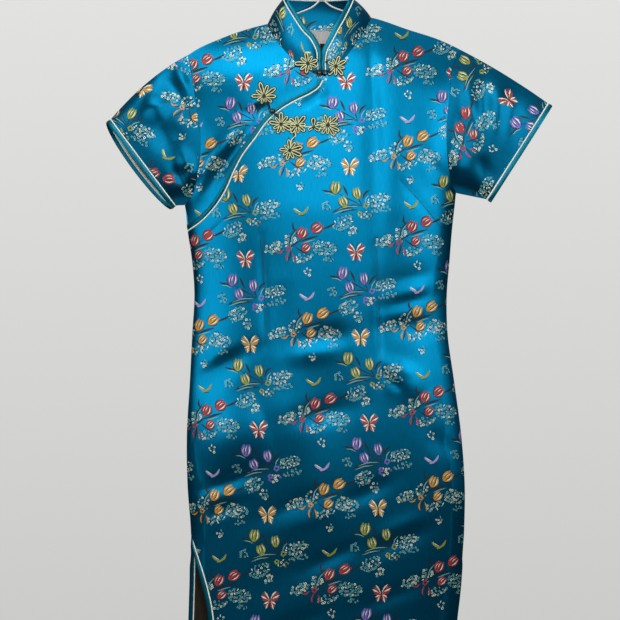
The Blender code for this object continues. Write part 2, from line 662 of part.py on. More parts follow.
def skin_object(name, vertices, faces, finish):
    """A closed body as a named object with its own material."""
    mesh = bpy.data.meshes.new(name)
    mesh.from_pydata([tuple(float(k) * MM for k in v) for v in vertices], [], faces)
    shape = bmesh.new()
    shape.from_mesh(mesh)
    bmesh.ops.recalc_face_normals(shape, faces=shape.faces)
    shape.to_mesh(mesh)
    shape.free()
    mesh.shade_smooth()
    mesh.set_sharp_from_angle(angle=math.radians(40))
    colour, roughness, metallic = finish
    material = bpy.data.materials.new(name + "_material")
    material.use_nodes = True
    shader = material.node_tree.nodes["Principled BSDF"]
    shader.inputs["Base Color"].default_value = (*colour, 1.0)
    shader.inputs["Roughness"].default_value = roughness
    shader.inputs["Metallic"].default_value = metallic
    mesh.materials.append(material)
    body = bpy.data.objects.new(name, mesh)
    bpy.context.scene.collection.objects.link(body)
    return body


def rim_faces(vertices, quad):
    """Two triangles of a rim, split the short way, as the rim that faces it across a seam is."""
    a, b, c, d = quad
    if np.linalg.norm(vertices[a] - vertices[c]) < np.linalg.norm(vertices[b] - vertices[d]):
        return [(a, b, c), (a, c, d)]
    return [(a, b, d), (b, c, d)]


def wall(name, points, out, start, thickness, finish, closed=False):
    """A cloth wall: the grid moved in by a start, and again by a thickness, joined at its rims."""
    rows = points.shape[0]
    columns = points.shape[1] - 1 if closed else points.shape[1]
    vertices = []
    for depth in (start, start + thickness):
        for r in range(rows):
            for c in range(columns):
                vertices.append(points[r, c] - out[r, c] * depth)
    layer = rows * columns

    def at(r, c, k):
        return k * layer + r * columns + c % columns

    faces = []
    spans = columns if closed else columns - 1
    for r in range(rows - 1):
        for c in range(spans):
            for k in (0, 1):
                a, b = at(r, c, k), at(r, c + 1, k)
                d, e = at(r + 1, c, k), at(r + 1, c + 1, k)
                if k == 0:
                    faces += [(a, b, e), (a, e, d)]
                else:
                    faces += [(a, e, b), (a, d, e)]
    for r, flip in ((0, True), (rows - 1, False)):
        for c in range(spans):
            quad = (at(r, c, 0), at(r, c + 1, 0), at(r, c + 1, 1), at(r, c, 1))
            faces += rim_faces(vertices, quad[::-1] if flip else quad)
    if not closed:
        for c, flip in ((0, False), (columns - 1, True)):
            for r in range(rows - 1):
                quad = (at(r, c, 0), at(r + 1, c, 0), at(r + 1, c, 1), at(r, c, 1))
                faces += rim_faces(vertices, quad[::-1] if flip else quad)
    return skin_object(name, vertices, faces, finish)


def sweep(name, rings, finish, closed=False):
    """A body through rings of points, one ring a station, with flat ends unless it closes."""
    sides = len(rings[0])
    vertices = [point for ring in rings for point in ring]
    count = len(rings)
    faces = []
    for i in range(count if closed else count - 1):
        for k in range(sides):
            a, b = i * sides + k, i * sides + (k + 1) % sides
            c, d = ((i + 1) % count) * sides + (k + 1) % sides, ((i + 1) % count) * sides + k
            faces += [(a, b, c), (a, c, d)]
    if not closed:
        faces.append(tuple(range(sides)))
        faces.append(tuple((count - 1) * sides + k for k in reversed(range(sides))))
    return skin_object(name, vertices, faces, finish)


def binding_rings(path, away, out, start, widths):
    """Rings of a flat binding beside an edge."""
    rings = []
    for point, across, normal, width in zip(path, away, out, widths):
        near, far = point + across * start, point + across * (start + width)
        rings.append([near + normal * BINDING_TOP, far + normal * BINDING_TOP,
                      far - normal * BINDING_BOTTOM, near - normal * BINDING_BOTTOM])
    return rings


def piping_rings(path, away, out, distance, depth, sides=6):
    """Rings of a round cord beside an edge."""
    rings = []
    for point, across, normal in zip(path, away, out):
        centre = point + across * distance - normal * depth
        rings.append([centre + (across * math.cos(2 * math.pi * (k + 0.5) / sides)
                                + normal * math.sin(2 * math.pi * (k + 0.5) / sides)) * PIPING
                      for k in range(sides)])
    return rings


def edge_trim(name, path, away, out, wall_depth, widths, closed=False):
    """Piping and binding along an edge of cloth."""
    sweep("piping_" + name, piping_rings(path, away, out, GAP + PIPING, wall_depth / 2), CREAM,
          closed)
    sweep("binding_" + name, binding_rings(path, away, out, TRIM_START, widths), TEAL, closed)


def flat_away(path, out, side):
    """The way across an edge in the cloth's own plane, towards a side."""
    away = []
    for i in range(len(path)):
        run = unit(path[min(i + 1, len(path) - 1)] - path[max(i - 1, 0)])
        across = unit(np.cross(run, out[i]))
        away.append(across if across @ side[i] > 0 else -across)
    return away


def trim_opening():
    """Piping and binding of the opening, on the front's face beside its edge."""
    sides = {"edge": -(PIPING + GAP), "piping": 0.0, "near": PIPING + GAP,
             "far": PIPING + GAP + BINDING}
    lines = {key: opening_line(shift) for key, shift in sides.items()}
    count = OPENING_SEGMENTS + 1
    placed = {}
    for key, line in lines.items():
        placed[key] = []
        for i in range(count):
            point, out = face("front", *line[i])
            if i == count - 1:
                point[1] = -SEAM_Y
                out = np.array([-1.0, 0.0, 0.0])
            placed[key].append((point, out))
    cord = []
    for i in range(count):
        point, out = placed["piping"][i]
        across = unit(placed["near"][i][0] - placed["edge"][i][0])
        if i == count - 1:
            point = point + np.array([0.0, -PIPING, 0.0])
        across = unit(across - out * (across @ out))
        centre = point - out * CLOTH / 2
        cord.append([centre + (across * math.cos(math.pi * (k + 0.5) / 3)
                               + out * math.sin(math.pi * (k + 0.5) / 3)) * PIPING
                     for k in range(6)])
    sweep("piping_opening", cord, CREAM)
    strip = []
    for i in range(count):
        near, near_out = placed["near"][i]
        far, far_out = placed["far"][i]
        strip.append([near + near_out * BINDING_TOP, far + far_out * BINDING_TOP,
                      far - far_out * BINDING_BOTTOM, near - near_out * BINDING_BOTTOM])
    sweep("binding_opening", strip, TEAL)


def trim_slits(panels):
    """Piping and binding of the four slit edges."""
    for panel in ("front", "back"):
        points, out = panels[panel]
        for side, column in (("left", 0), ("right", points.shape[1] - 1)):
            rows = range(SLIT_ROWS)
            path = [points[r, column] for r in rows]
            normals = [out[r, column] for r in rows]
            outward = [np.array([-1.0 if side == "left" else 1.0, 0, 0])] * len(path)
            away = flat_away(path, normals, outward)
            edge_trim("slit_%s_%s" % (panel, side), path, away, normals, CLOTH,
                      [BINDING] * len(path))


def trim_cuff(name, points, out, away):
    """Piping and binding round a sleeve hem, straight on from the sleeve."""
    path = [points[-1, c] for c in range(points.shape[1] - 1)]
    normals = [unit(out[-1, c] - away * (out[-1, c] @ away)) for c in range(len(path))]
    edge_trim(name, path, [away] * len(path), normals, CLOTH, [BINDING] * len(path), closed=True)


def trim_collar(points, out):
    """Piping and binding up one end of the collar, along its top and down the other end."""
    columns = points.shape[1] - 1
    cells = [(r, 0) for r in range(1, COLLAR_ROWS)]
    cells += [(COLLAR_ROWS, c) for c in range(columns + 1)]
    cells += [(r, columns) for r in range(COLLAR_ROWS - 1, 0, -1)]
    path = [points[cell] for cell in cells]
    normals = [out[cell] for cell in cells]
    side = []
    for r, c in cells:
        rising = points[COLLAR_ROWS, c] - points[COLLAR_ROWS - 1, c]
        inner = points[r, 0] - points[r, 1] if c == 0 else points[r, -1] - points[r, -2]
        side.append(rising if r == COLLAR_ROWS and 0 < c < columns else inner)
    away = flat_away(path, normals, side)
    for i, (r, c) in enumerate(cells):
        along_top = min(c, columns - c) if r == COLLAR_ROWS else 0
        square = min(max((NECK_SEGMENTS - 1 - along_top) / 3, 0.0), 1.0)
        away[i] = unit(away[i] * square + unit(side[i]) * (1 - square))
        normals[i] = unit(normals[i] - away[i] * (normals[i] @ away[i]))
    ends = COLLAR_ROWS - 1 + 2
    widths = []
    for i in range(len(path)):
        from_end = min(i, len(path) - 1 - i)
        widths.append(COLLAR_BINDING
                      + COLLAR_BINDING_GROWTH * min(max((from_end - ends) / 3, 0.0), 1.0))
    edge_trim("collar", path, away, normals, COLLAR_CLOTH, widths)


def make_rosette(row):
    """A rosette: a low lobed cake, its lobes the petals of looped cord."""
    samples = PETALS * PETAL_SAMPLES
    turn = math.radians(row.turn)

    def ring(scale, lift, notch):
        points = []
        for k in range(samples):
            angle = turn + 2 * math.pi * k / samples
            lobe = abs(math.cos(PETALS * (angle - turn) / 2))
            reach = row.radius * scale * (1 - notch * (1 - lobe))
            points.append(laid(row.panel, row.x + reach * math.cos(angle),
                               row.z + reach * math.sin(angle), lift))
        return points

    low, rim = row.lift, row.lift + ROSETTE_RIM
    crest = row.lift + ROSETTE_HEIGHT
    vertices = [laid(row.panel, row.x, row.z, low)]
    vertices += ring(1.0, low, PETAL_NOTCH) + ring(1.0, rim, PETAL_NOTCH)
    vertices += ring(0.62, crest, PETAL_NOTCH)
    vertices.append(laid(row.panel, row.x, row.z, row.lift + ROSETTE_HEART))
    faces = []
    for k in range(samples):
        n = (k + 1) % samples
        faces.append((0, 1 + n, 1 + k))
        for band in (0, 1):
            a, b = 1 + band * samples + k, 1 + band * samples + n
            faces += [(a, b, b + samples), (a, b + samples, a + samples)]
        faces.append((1 + 2 * samples + k, 1 + 2 * samples + n, 1 + 3 * samples))
    skin_object(row.name, vertices, faces, GOLD)


def make_link(row):
    """A short straight cord that lies on a panel."""
    rings = []
    for s in np.linspace(0, 1, 4):
        x, z = row.x0 + (row.x1 - row.x0) * s, row.z0 + (row.z1 - row.z0) * s
        centre = laid(row.panel, x, z, row.lift + LINK_RADIUS)
        up = unit(laid(row.panel, x, z, row.lift + LINK_RADIUS + 1) - centre)
        run = unit(laid(row.panel, row.x1, row.z1, row.lift) - laid(row.panel, row.x0, row.z0,
                                                                   row.lift))
        side = unit(np.cross(run, up))
        rings.append([centre + (side * math.cos(math.pi * k / 3) + up * math.sin(math.pi * k / 3))
                      * LINK_RADIUS for k in range(6)])
    sweep(row.name, rings, TEAL)


def make_knot(row):
    """A knot button: a small ball that lies on a panel."""
    centre = laid(row.panel, row.x, row.z, row.lift + KNOT_RADIUS)
    bpy.ops.mesh.primitive_ico_sphere_add(subdivisions=2, radius=1.0)
    ball = bpy.context.object
    vertices = [centre + np.array(v.co) * KNOT_RADIUS for v in ball.data.vertices]
    faces = [tuple(p.vertices) for p in ball.data.polygons]
    bpy.data.objects.remove(ball)
    skin_object(row.name, vertices, faces, GOLD)


def make_ribbon(name, back, half_columns, top, bottom):
    """A flat ribbon on the back lining, between lines of the back's own grid."""
    points, out = back
    rows = points.shape[0] - 1
    middle = BACK_SHOULDER_SEGMENTS + BACK_NECK_SEGMENTS / 2
    columns = sorted({middle - half_columns, middle + half_columns,
                      *[float(c) for c in range(points.shape[1])
                        if abs(c - middle) < half_columns]})
    depth = LINING_DEPTH + LINING + GAP
    grid = np.zeros((2, len(columns), 3))
    grid_normals = np.zeros_like(grid)
    for r, share in enumerate((bottom, top)):
        for c, column in enumerate(columns):
            left = min(int(math.floor(column)), points.shape[1] - 2)
            u = column - left
            for target, source in ((grid, points), (grid_normals, out)):
                upper = source[rows, left] * (1 - u) + source[rows, left + 1] * u
                lower = source[rows - 1, left] * (1 - u) + source[rows - 1, left + 1] * u
                target[r, c] = upper * (1 - share) + lower * share
    wall(name, grid, grid_normals, depth, LABEL_THICKNESS, LABEL_WHITE)


def make_hanger():
    """The hanger: one wire from the hook's tip round the loop to its end beside the shank."""
    centre_z = -HOOK_RADIUS
    bend = HOOK_RADIUS + WIRE_RADIUS
    hook = []
    for angle in np.radians(np.linspace(HOOK_TIP_ANGLE, HOOK_SHANK_ANGLE, 15)):
        hook.append((bend * math.cos(angle), centre_z + bend * math.sin(angle)))
    path = hook + [tuple(p) for p in HANGER_SHANK + HANGER_LOOP]
    dense = dense_path(path, 1200)
    keep = [0]
    for i in range(1, len(dense) - 1):
        run = dense[i] - dense[keep[-1]]
        heading = dense[i + 1] - dense[i]
        start = dense[keep[-1] + 1] - dense[keep[-1]]
        turn = abs(math.atan2(start[0] * heading[1] - start[1] * heading[0], start @ heading))
        length = math.hypot(*run)
        if (turn > math.radians(14) and length > 2.0) or length > 45.0:
            keep.append(i)
    keep.append(len(dense) - 1)
    rings = []
    for n, i in enumerate(keep):
        ahead, behind = dense[min(i + 1, len(dense) - 1)], dense[max(i - 1, 0)]
        run = unit(ahead - behind)
        side = np.array([run[1], 0.0, -run[0]])
        centre = np.array([dense[i][0], 0.0, dense[i][1]])
        rings.append([centre + (side * math.cos(2 * math.pi * k / WIRE_SIDES)
                                + np.array([0, 1.0, 0]) * math.sin(2 * math.pi * k / WIRE_SIDES))
                      * WIRE_RADIUS for k in range(WIRE_SIDES)])
    sweep("hanger", rings, WIRE_WHITE)


def make_dress():
    underlap_points, underlap_out, end_rows = make_underlap()
    panels = {"front": make_front(), "underlap": (underlap_points, underlap_out),
              "back": make_back()}
    sleeve_left = make_sleeve(panels, "underlap", "left", CUFF_LEFT)
    sleeve_right = make_sleeve(panels, "front", "right", CUFF_RIGHT)
    collar = make_collar(panels, end_rows)
    for name in ("front", "underlap", "back"):
        wall(name, *panels[name], 0.0, CLOTH, SATIN)
    wall("lining_back", *panels["back"], LINING_DEPTH, LINING, LINING_COLOUR)
    for name, sleeve in (("left", sleeve_left), ("right", sleeve_right)):
        wall("sleeve_" + name, *sleeve[:2], 0.0, CLOTH, SATIN, closed=True)
        wall("lining_sleeve_" + name, *sleeve[:2], LINING_DEPTH, LINING, LINING_COLOUR,
             closed=True)
        trim_cuff("cuff_" + name, *sleeve)
    wall("collar", *collar, 0.0, COLLAR_CLOTH, SATIN)
    trim_collar(*collar)
    trim_opening()
    trim_slits(panels)
    make_ribbon("label", panels["back"], LABEL_HALF_COLUMNS, LABEL_TOP, LABEL_BOTTOM)
    make_ribbon("label_tab", panels["back"], TAB_HALF_COLUMNS, TAB_TOP, TAB_BOTTOM)
    for row in ROSETTES:
        make_rosette(row)
    for row in LINKS:
        make_link(row)
    for row in KNOTS:
        make_knot(row)


for item in list(bpy.data.objects):
    bpy.data.objects.remove(item)
make_dress()
make_hanger()
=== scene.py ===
"""The looks of a satin cheongsam that hangs on a wire hanger.

Tables are in millimetres, meshes in metres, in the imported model's frame: X to the viewer's right,
Y to the back, Z up, with the origin inside the top of the hanger's hook. Left and right are the
viewer's.
"""
import math
import random

import bpy
import numpy as np
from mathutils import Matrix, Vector


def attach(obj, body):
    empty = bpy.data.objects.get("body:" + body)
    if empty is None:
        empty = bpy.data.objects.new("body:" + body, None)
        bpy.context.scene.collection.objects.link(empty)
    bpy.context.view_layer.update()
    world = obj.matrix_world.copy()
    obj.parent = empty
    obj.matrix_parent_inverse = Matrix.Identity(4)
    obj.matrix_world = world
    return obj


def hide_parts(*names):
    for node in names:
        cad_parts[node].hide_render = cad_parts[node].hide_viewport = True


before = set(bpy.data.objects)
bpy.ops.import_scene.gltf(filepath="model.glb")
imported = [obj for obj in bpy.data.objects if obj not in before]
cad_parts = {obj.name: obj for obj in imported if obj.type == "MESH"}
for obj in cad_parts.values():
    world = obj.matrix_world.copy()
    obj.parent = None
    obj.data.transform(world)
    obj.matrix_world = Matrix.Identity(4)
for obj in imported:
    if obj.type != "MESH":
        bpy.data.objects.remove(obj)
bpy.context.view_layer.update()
MM = 0.001

# Front panel: one piece of satin from the hem up to the diagonal opening, the neckline and the
# right shoulder. Satin woven with flowers, cut with darts and sewn to the back at the sides.
# Levels of the body: height, the two side seams, and how far the front and back stand out
LEVELS = np.array([
    (-100, -228, 226, 34, 24), (-200, -225, 223, 37, 25), (-300, -217, 212, 40, 26),
    (-358.4, -203.5, 194.3, 40, 26), (-376, -199, 192.5, 40, 26), (-412, -195, 188.5, 38.5, 25),
    (-456, -188.5, 185, 36.5, 23), (-505, -185, 181, 35, 22), (-560, -188, 182, 34.5, 22),
    (-630, -191.5, 191.4, 35, 24), (-710, -196, 202, 36, 26), (-782, -195, 207, 36, 26),
    (-853, -190, 206, 36, 26), (-930, -192, 202, 35.5, 25.5), (-978, -194, 196.5, 35, 25),
    (-1098, -198, 190, 34, 24)], float)
# The shoulder line and the line over the neck that would join the shoulders: x, z
RIDGE = np.array([
    (-235, -184), (-194.3, -158.3), (-183, -151), (-152, -136.6), (-112, -122), (-79, -113.2),
    (-40, -106), (0, -101), (40, -99.5), (71.5, -104), (125, -121.5), (173, -137.5),
    (200, -150.3), (235, -170)], float)
HEM_Z, SLIT_Z, WAIST_Z = -1098.0, -853.0, -505.0
UNDERARM_LEFT, UNDERARM_RIGHT = (-199.0, -376.0), (194.3, -358.4)
RISE = {"front": 120.0, "back": 80.0}
SEAM_Y = 0.15
NECK_LEFT, NECK_RIGHT = -79.0, 71.5
SHOULDER_LEFT, SHOULDER_RIGHT = -194.3, 200.0
# How fully the body's cross-section rounds between its two side seams
SECTION_POWER, SECTION_ROOT = 2.6, 0.75
# Folds and creases: from x, z to x, z, half width, depth; a negative depth is a ridge
FRONT_FOLDS = [
    (66, -150, 80, -440, 13, 2.2), (100, -170, 112, -420, 22, -1.0),
    (-190, -654, -100, -584, 12, 5.0), (-200, -735, -70, -685, 48, -6.0),
    (90, -486, 176, -462, 12, 0.8), (84, -553, 176, -549, 18, 3.0),
    (92, -610, 150, -655, 20, -3.5), (-186, -800, -80, -758, 14, 1.8),
    (-160, -850, 20, -775, 20, 0.6), (-120, -940, 70, -850, 28, 1.2),
    (-40, -1040, 150, -960, 30, 1.2), (-40, -655, 60, -650, 100, 4.0),
    # fine creases of the front
    (-189, -632, -116, -584, 6, 2.6), (-180, -648, -120, -606, 8, -1.6),
    (-32, -574, 44, -562, 15, 2.2), (-60, -598, 30, -580, 14, -1.4),
    (84, -492, 178, -472, 6, 1.0), (92, -510, 172, -490, 7, -1.2),
    (84, -524, 176, -504, 6, 1.3), (86, -540, 150, -530, 7, -1.4),
    (90, -622, 118, -646, 6, 2.2), (88, -600, 140, -622, 9, -2.0),
    (-188, -790, -142, -776, 7, 2.2), (-150, -780, -92, -756, 8, 1.8),
    (-188, -832, -112, -806, 8, 2.0), (-188, -812, -120, -786, 9, -1.8),
    (-90, -832, 16, -782, 10, 1.1), (-70, -850, 40, -808, 11, -0.8),
    (-30, -905, 60, -862, 10, 1.6), (20, -812, 110, -770, 12, 1.6),
    (60, -880, 170, -838, 13, 1.8), (70, -858, 160, -822, 12, -1.4),
    (40, -962, 168, -915, 12, 1.7), (-90, -1000, 10, -960, 12, 1.5),
    (66, -92, 84, -330, 7, 1.2), (128, -200, 140, -330, 14, 0.8),
    (-20, -232, 12, -206, 8, 2.4), (-40, -240, -8, -226, 8, 2.0),
    (150, -300, 186, -356, 9, 2.0), (166, -240, 172, -390, 20, -1.6),
    (-60, -470, -50, -640, 22, 1.2),
    (150, -700, 196, -742, 14, 1.8), (-60, -690, 60, -664, 16, 1.6),
    # the cloth pulled in along the darts
    (112, -340, 177, -415, 4, 1.2), (-145, -399, -183, -441, 4, 1.2),
    (-88, -420, -82, -582, 5, 1.4), (78, -432, 83, -640, 5, 1.5),
]
BACK_FOLDS = [
    (-90, -560, -176, -600, 18, 5.0), (70, -545, 172, -580, 18, 5.0),
    (-120, -830, 60, -760, 26, 3.5), (-60, -1000, 130, -920, 32, 3.0),
    # fine creases of the back
    (-100, -572, -178, -612, 7, 2.2), (-96, -540, -170, -566, 8, -1.8),
    (60, -530, 174, -560, 7, 2.0), (74, -566, 176, -604, 8, -1.7),
    (-160, -790, -60, -750, 10, 1.8), (20, -860, 150, -812, 11, 1.7),
    (-150, -940, -20, -880, 12, 1.6), (0, -1040, 140, -990, 12, 1.5),
    (-120, -200, -110, -420, 16, 2.0), (110, -190, 104, -400, 16, 2.0),
    (-60, -170, 60, -166, 12, 1.8), (-20, -520, 30, -500, 14, 1.8),
]
# The piping along the opening, from the centre front to the side seam: x, z
OPENING = np.array([
    (1, -197.5), (-4.5, -207.5), (-15.4, -215.5), (-37.7, -226.5), (-59.7, -239.5),
    (-78, -255.5), (-97, -281.3), (-116, -307), (-127, -328), (-139, -355), (-156, -380.6),
    (-177, -401.5), (-195, -413.5)], float)
OPENING_END_SLANT = 1.35
# Slit edges by height: front left, front right, back left, back right
SLITS = np.array([
    (-853, -190, 206, -190, 206), (-880, -180.5, 204, -184.5, 197),
    (-911, -170, 202, -184, 190), (-951, -159.5, 198.5, -185, 184),
    (-1000, -153, 192.5, -186.5, 179), (-1098, -142, 188.5, -189, 173)], float)
SLIT_COLUMNS = {("front", "left"): 1, ("front", "right"): 2, ("back", "left"): 3,
                ("back", "right"): 4}
ARMHOLES = {
    ("front", "left"): [(-194.3, -158.3), (-182, -227), (-175.5, -281.6), (-179.8, -333.8),
                        (-190, -366), UNDERARM_LEFT],
    ("front", "right"): [(200, -150.3), (190, -172), (184, -219), (179.8, -286), (184, -328),
                         (190, -351), UNDERARM_RIGHT],
    ("back", "left"): [(-194.3, -158.3), (-187, -215), (-182, -280), (-186, -335),
                       (-194, -368), UNDERARM_LEFT],
    ("back", "right"): [(200, -150.3), (192, -205), (186, -280), (188, -325), (192, -350),
                        UNDERARM_RIGHT]}
# Collar stations from the centre front to the shoulder: base x, base z, top x, top z, top y
COLLAR_LEFT = np.array([
    (-7.4, -188, -8, -169, -32), (-15, -185, -9.4, -154.5, -31.5),
    (-27, -178.5, -17.5, -138.5, -29.5), (-41, -167.5, -29, -126, -25.5),
    (-54, -154, -40, -109.5, -20), (-65, -140, -48.5, -95.5, -13.5),
    (-73.5, -126, -54.5, -84.5, -8.5), (-79, -113.2, -57.5, -78, 0)], float)
COLLAR_RIGHT = np.array([
    (6.4, -189.5, 6, -171, -34), (15, -182.5, 8, -156.5, -33), (27, -171.5, 15.5, -141.5, -30.5),
    (39, -157.5, 25, -123.5, -26.5), (50, -142, 33.5, -108.5, -20.5), (60, -126.5, 40, -95, -13.5),
    (67, -114, 45, -84, -8.5), (71.5, -104, 47.5, -78, 0)], float)
CLOTH, GAP, PIPING = 1.3, 0.3, 1.05
# On the flat cloth the inner skin's places lie this far beside the outer skin's
INNER_SHIFT = 5000
# The share of the front's width at the waist that leads up to the opening
OPENING_SHARE = 0.58
# A fold's depth along its length is a sine between these shares, an even path is measured on this
# many samples, and edges past this angle in degrees stay sharp
FOLD_ENDS, EVEN_SAMPLES, SHARP_ANGLE = (0.08, 0.92), 801, 50
N_OPENING, N_NECK, N_SHOULDER, N_ARMHOLE = 66, 28, 24, 40
ROWS_SLIT, ROWS_SKIRT, ROWS_WAIST = 44, 60, 22


class Curve:
    """A smooth curve through a table's rows: cubic between the rows, level past its ends."""

    def __init__(self, keys, values):
        order = np.argsort(keys)
        self.keys = np.asarray(keys, float)[order]
        self.values = np.asarray(values, float)[order]
        self.slopes = np.gradient(self.values, self.keys)

    def __call__(self, key):
        key = np.clip(key, self.keys[0], self.keys[-1])
        i = np.clip(np.searchsorted(self.keys, key) - 1, 0, len(self.keys) - 2)
        step = self.keys[i + 1] - self.keys[i]
        t = (key - self.keys[i]) / step
        return ((1 + 2 * t) * (1 - t) ** 2 * self.values[i]
                + t * (1 - t) ** 2 * step * self.slopes[i]
                + t * t * (3 - 2 * t) * self.values[i + 1]
                + t * t * (t - 1) * step * self.slopes[i + 1])


SEAM = {"left": Curve(LEVELS[:, 0], LEVELS[:, 1]), "right": Curve(LEVELS[:, 0], LEVELS[:, 2])}
DEPTH = {"front": Curve(LEVELS[:, 0], LEVELS[:, 3]), "back": Curve(LEVELS[:, 0], LEVELS[:, 4])}
RIDGE_Z = Curve(RIDGE[:, 0], RIDGE[:, 1])


def unit(vectors):
    return vectors / np.linalg.norm(vectors, axis=-1, keepdims=True)


def even_path(points, segments):
    """A smooth line through points, as a number of equal segments."""
    points = np.array(points, float)
    lengths = np.concatenate([[0.0], np.cumsum(np.linalg.norm(np.diff(points, axis=0), axis=1))])
    fine = np.linspace(0, lengths[-1], EVEN_SAMPLES)
    dense = np.stack([Curve(lengths, points[:, k])(fine) for k in range(points.shape[1])], 1)
    lengths = np.concatenate([[0.0], np.cumsum(np.linalg.norm(np.diff(dense, axis=0), axis=1))])
    even = np.linspace(0, lengths[-1], segments + 1)
    return np.stack([np.interp(even, lengths, dense[:, k]) for k in range(points.shape[1])], 1)


def fold_depth(folds, x, z):
    """How far folds push the cloth in at places."""
    total = np.zeros(np.shape(x))
    for x0, z0, x1, z1, width, depth in folds:
        run = np.array([x1 - x0, z1 - z0], float)
        length = np.linalg.norm(run)
        s = ((x - x0) * run[0] + (z - z0) * run[1]) / length ** 2
        across = ((x - x0) * run[1] - (z - z0) * run[0]) / length
        past = np.maximum(np.maximum(-s, s - 1), 0) * length
        taper = np.sin(math.pi * np.clip(s, *FOLD_ENDS))
        total += depth * taper * np.exp(-(across ** 2 + past ** 2) / width ** 2)
    return total


def face_y(side, x, z):
    """Y of the dress's outer face; the front is negative."""
    middle = (SEAM["left"](z) + SEAM["right"](z)) / 2
    half = (SEAM["right"](z) - SEAM["left"](z)) / 2
    across = (1 - np.minimum(np.abs(x - middle) / half, 1) ** SECTION_POWER) ** SECTION_ROOT
    rise = np.clip((RIDGE_Z(x) - z) / RISE[side], 0, 1)
    folds = fold_depth(FRONT_FOLDS if side == "front" else BACK_FOLDS, x, z)
    out = (DEPTH[side](z) - folds) * across * (1 - (1 - rise) ** 3)
    return np.minimum(-out, -SEAM_Y) if side == "front" else np.maximum(out, SEAM_Y)


def face(side, flat):
    """Points of the outer face at flat places, and the way out of the cloth there."""
    x, z = flat[..., 0], flat[..., 1]
    slope_x = face_y(side, x + 0.5, z) - face_y(side, x - 0.5, z)
    slope_z = face_y(side, x, z + 0.5) - face_y(side, x, z - 0.5)
    sign = -1.0 if side == "front" else 1.0
    out = unit(sign * np.stack([-slope_x, np.ones(np.shape(x)), -slope_z], -1))
    return np.stack([x, face_y(side, x, z), z], -1), out


def coons(bottom, top, left, right, widths):
    """A grid of flat places between four edge lines; rows run from the bottom to the top."""
    v, u = np.linspace(0, 1, len(left))[:, None, None], widths[None, :, None]
    ruled = (1 - v) * bottom + v * top + (1 - u) * left[:, None] + u * right[:, None]
    return ruled - ((1 - u) * (1 - v) * bottom[0] + u * (1 - v) * bottom[-1]
                    + (1 - u) * v * top[0] + u * v * top[-1])


def side_line(side, edge, levels):
    """A side seam, or under its end a slit's edge, at levels."""
    slit = Curve(SLITS[:, 0], SLITS[:, SLIT_COLUMNS[side, edge]])
    return np.stack([np.where(levels > SLIT_Z, SEAM[edge](levels), slit(levels)), levels], 1)


def shoulder_line(x0, x1, segments):
    """Flat places along the shoulder seams' line."""
    x = np.linspace(x0, x1, segments + 1)
    return np.stack([x, RIDGE_Z(x)], 1)


def opening_line(shift, segments=N_OPENING):
    """The opening's line moved sideways; a positive shift is towards the underlap."""
    line = even_path(OPENING, segments)
    run = unit(np.gradient(line, axis=0))
    moved = line + shift * np.stack([run[:, 1], -run[:, 0]], 1)
    end_z = line[-1, 1] + shift * OPENING_END_SLANT
    moved[-1] = (SEAM["left"](end_z), end_z)
    return moved


def collar_line(table, columns):
    """A line through a collar table's rows, made of some of its columns."""
    stations = np.linspace(0, len(table) - 1, N_NECK + 1)
    return np.stack([Curve(range(len(table)), table[:, k])(stations) for k in columns], 1)


def shoulder_out(x):
    """The way out of the cloth along the shoulder seams."""
    slope = (RIDGE_Z(x + 1) - RIDGE_Z(x - 1)) / 2
    return unit(np.stack([-slope, np.zeros(np.shape(x)), np.ones(np.shape(x))], -1))


def cloth_lengths(side, points):
    """Where each point lies on the uncut cloth: widths measured round the body, and height."""
    rows, columns = 160, 121
    middle = columns // 2
    level = np.linspace(HEM_Z - 20, -80, rows)
    share = np.linspace(0, 1, columns)
    left, right = SEAM["left"](level)[:, None], SEAM["right"](level)[:, None]
    x = left + (right - left) * share
    y = face_y(side, x, np.repeat(level[:, None], columns, 1))
    run = np.hypot(np.diff(x, axis=1), np.diff(y, axis=1))
    total = np.concatenate([np.zeros((rows, 1)), np.cumsum(run, axis=1)], 1)
    total -= total[:, middle:middle + 1]
    r = (points[..., 2] - level[0]) / (level[1] - level[0])
    low, high = SEAM["left"](points[..., 2]), SEAM["right"](points[..., 2])
    c = np.clip((points[..., 0] - low) / (high - low), 0, 1) * (columns - 1)
    i, j = np.clip(r.astype(int), 0, rows - 2), np.clip(c.astype(int), 0, columns - 2)
    a, b = np.clip(r - i, 0, 1), c - j
    width = ((total[i, j] * (1 - b) + total[i, j + 1] * b) * (1 - a)
             + (total[i + 1, j] * (1 - b) + total[i + 1, j + 1] * b) * a)
    return np.stack([width, points[..., 2]], -1)


def linear(code):
    """An sRGB hex colour as linear red, green, blue and alpha."""
    values = [int(code[k:k + 2], 16) / 255 for k in (0, 2, 4)]
    return [v / 12.92 if v < 0.04045 else ((v + 0.055) / 1.055) ** 2.4 for v in values] + [1.0]


def add(tree, kind, settings=(), **inputs):
    """Add a node, set its properties, and set or link its inputs by their names."""
    node = tree.nodes.new(kind)
    for name, value in dict(settings).items():
        setattr(node, name, value)
    for name, value in inputs.items():
        socket = node.inputs[int(name[1:]) if name[1:].isdigit() else name.replace("_", " ")]
        if isinstance(value, bpy.types.NodeSocket):
            tree.links.new(value, socket)
        else:
            socket.default_value = value
    return node


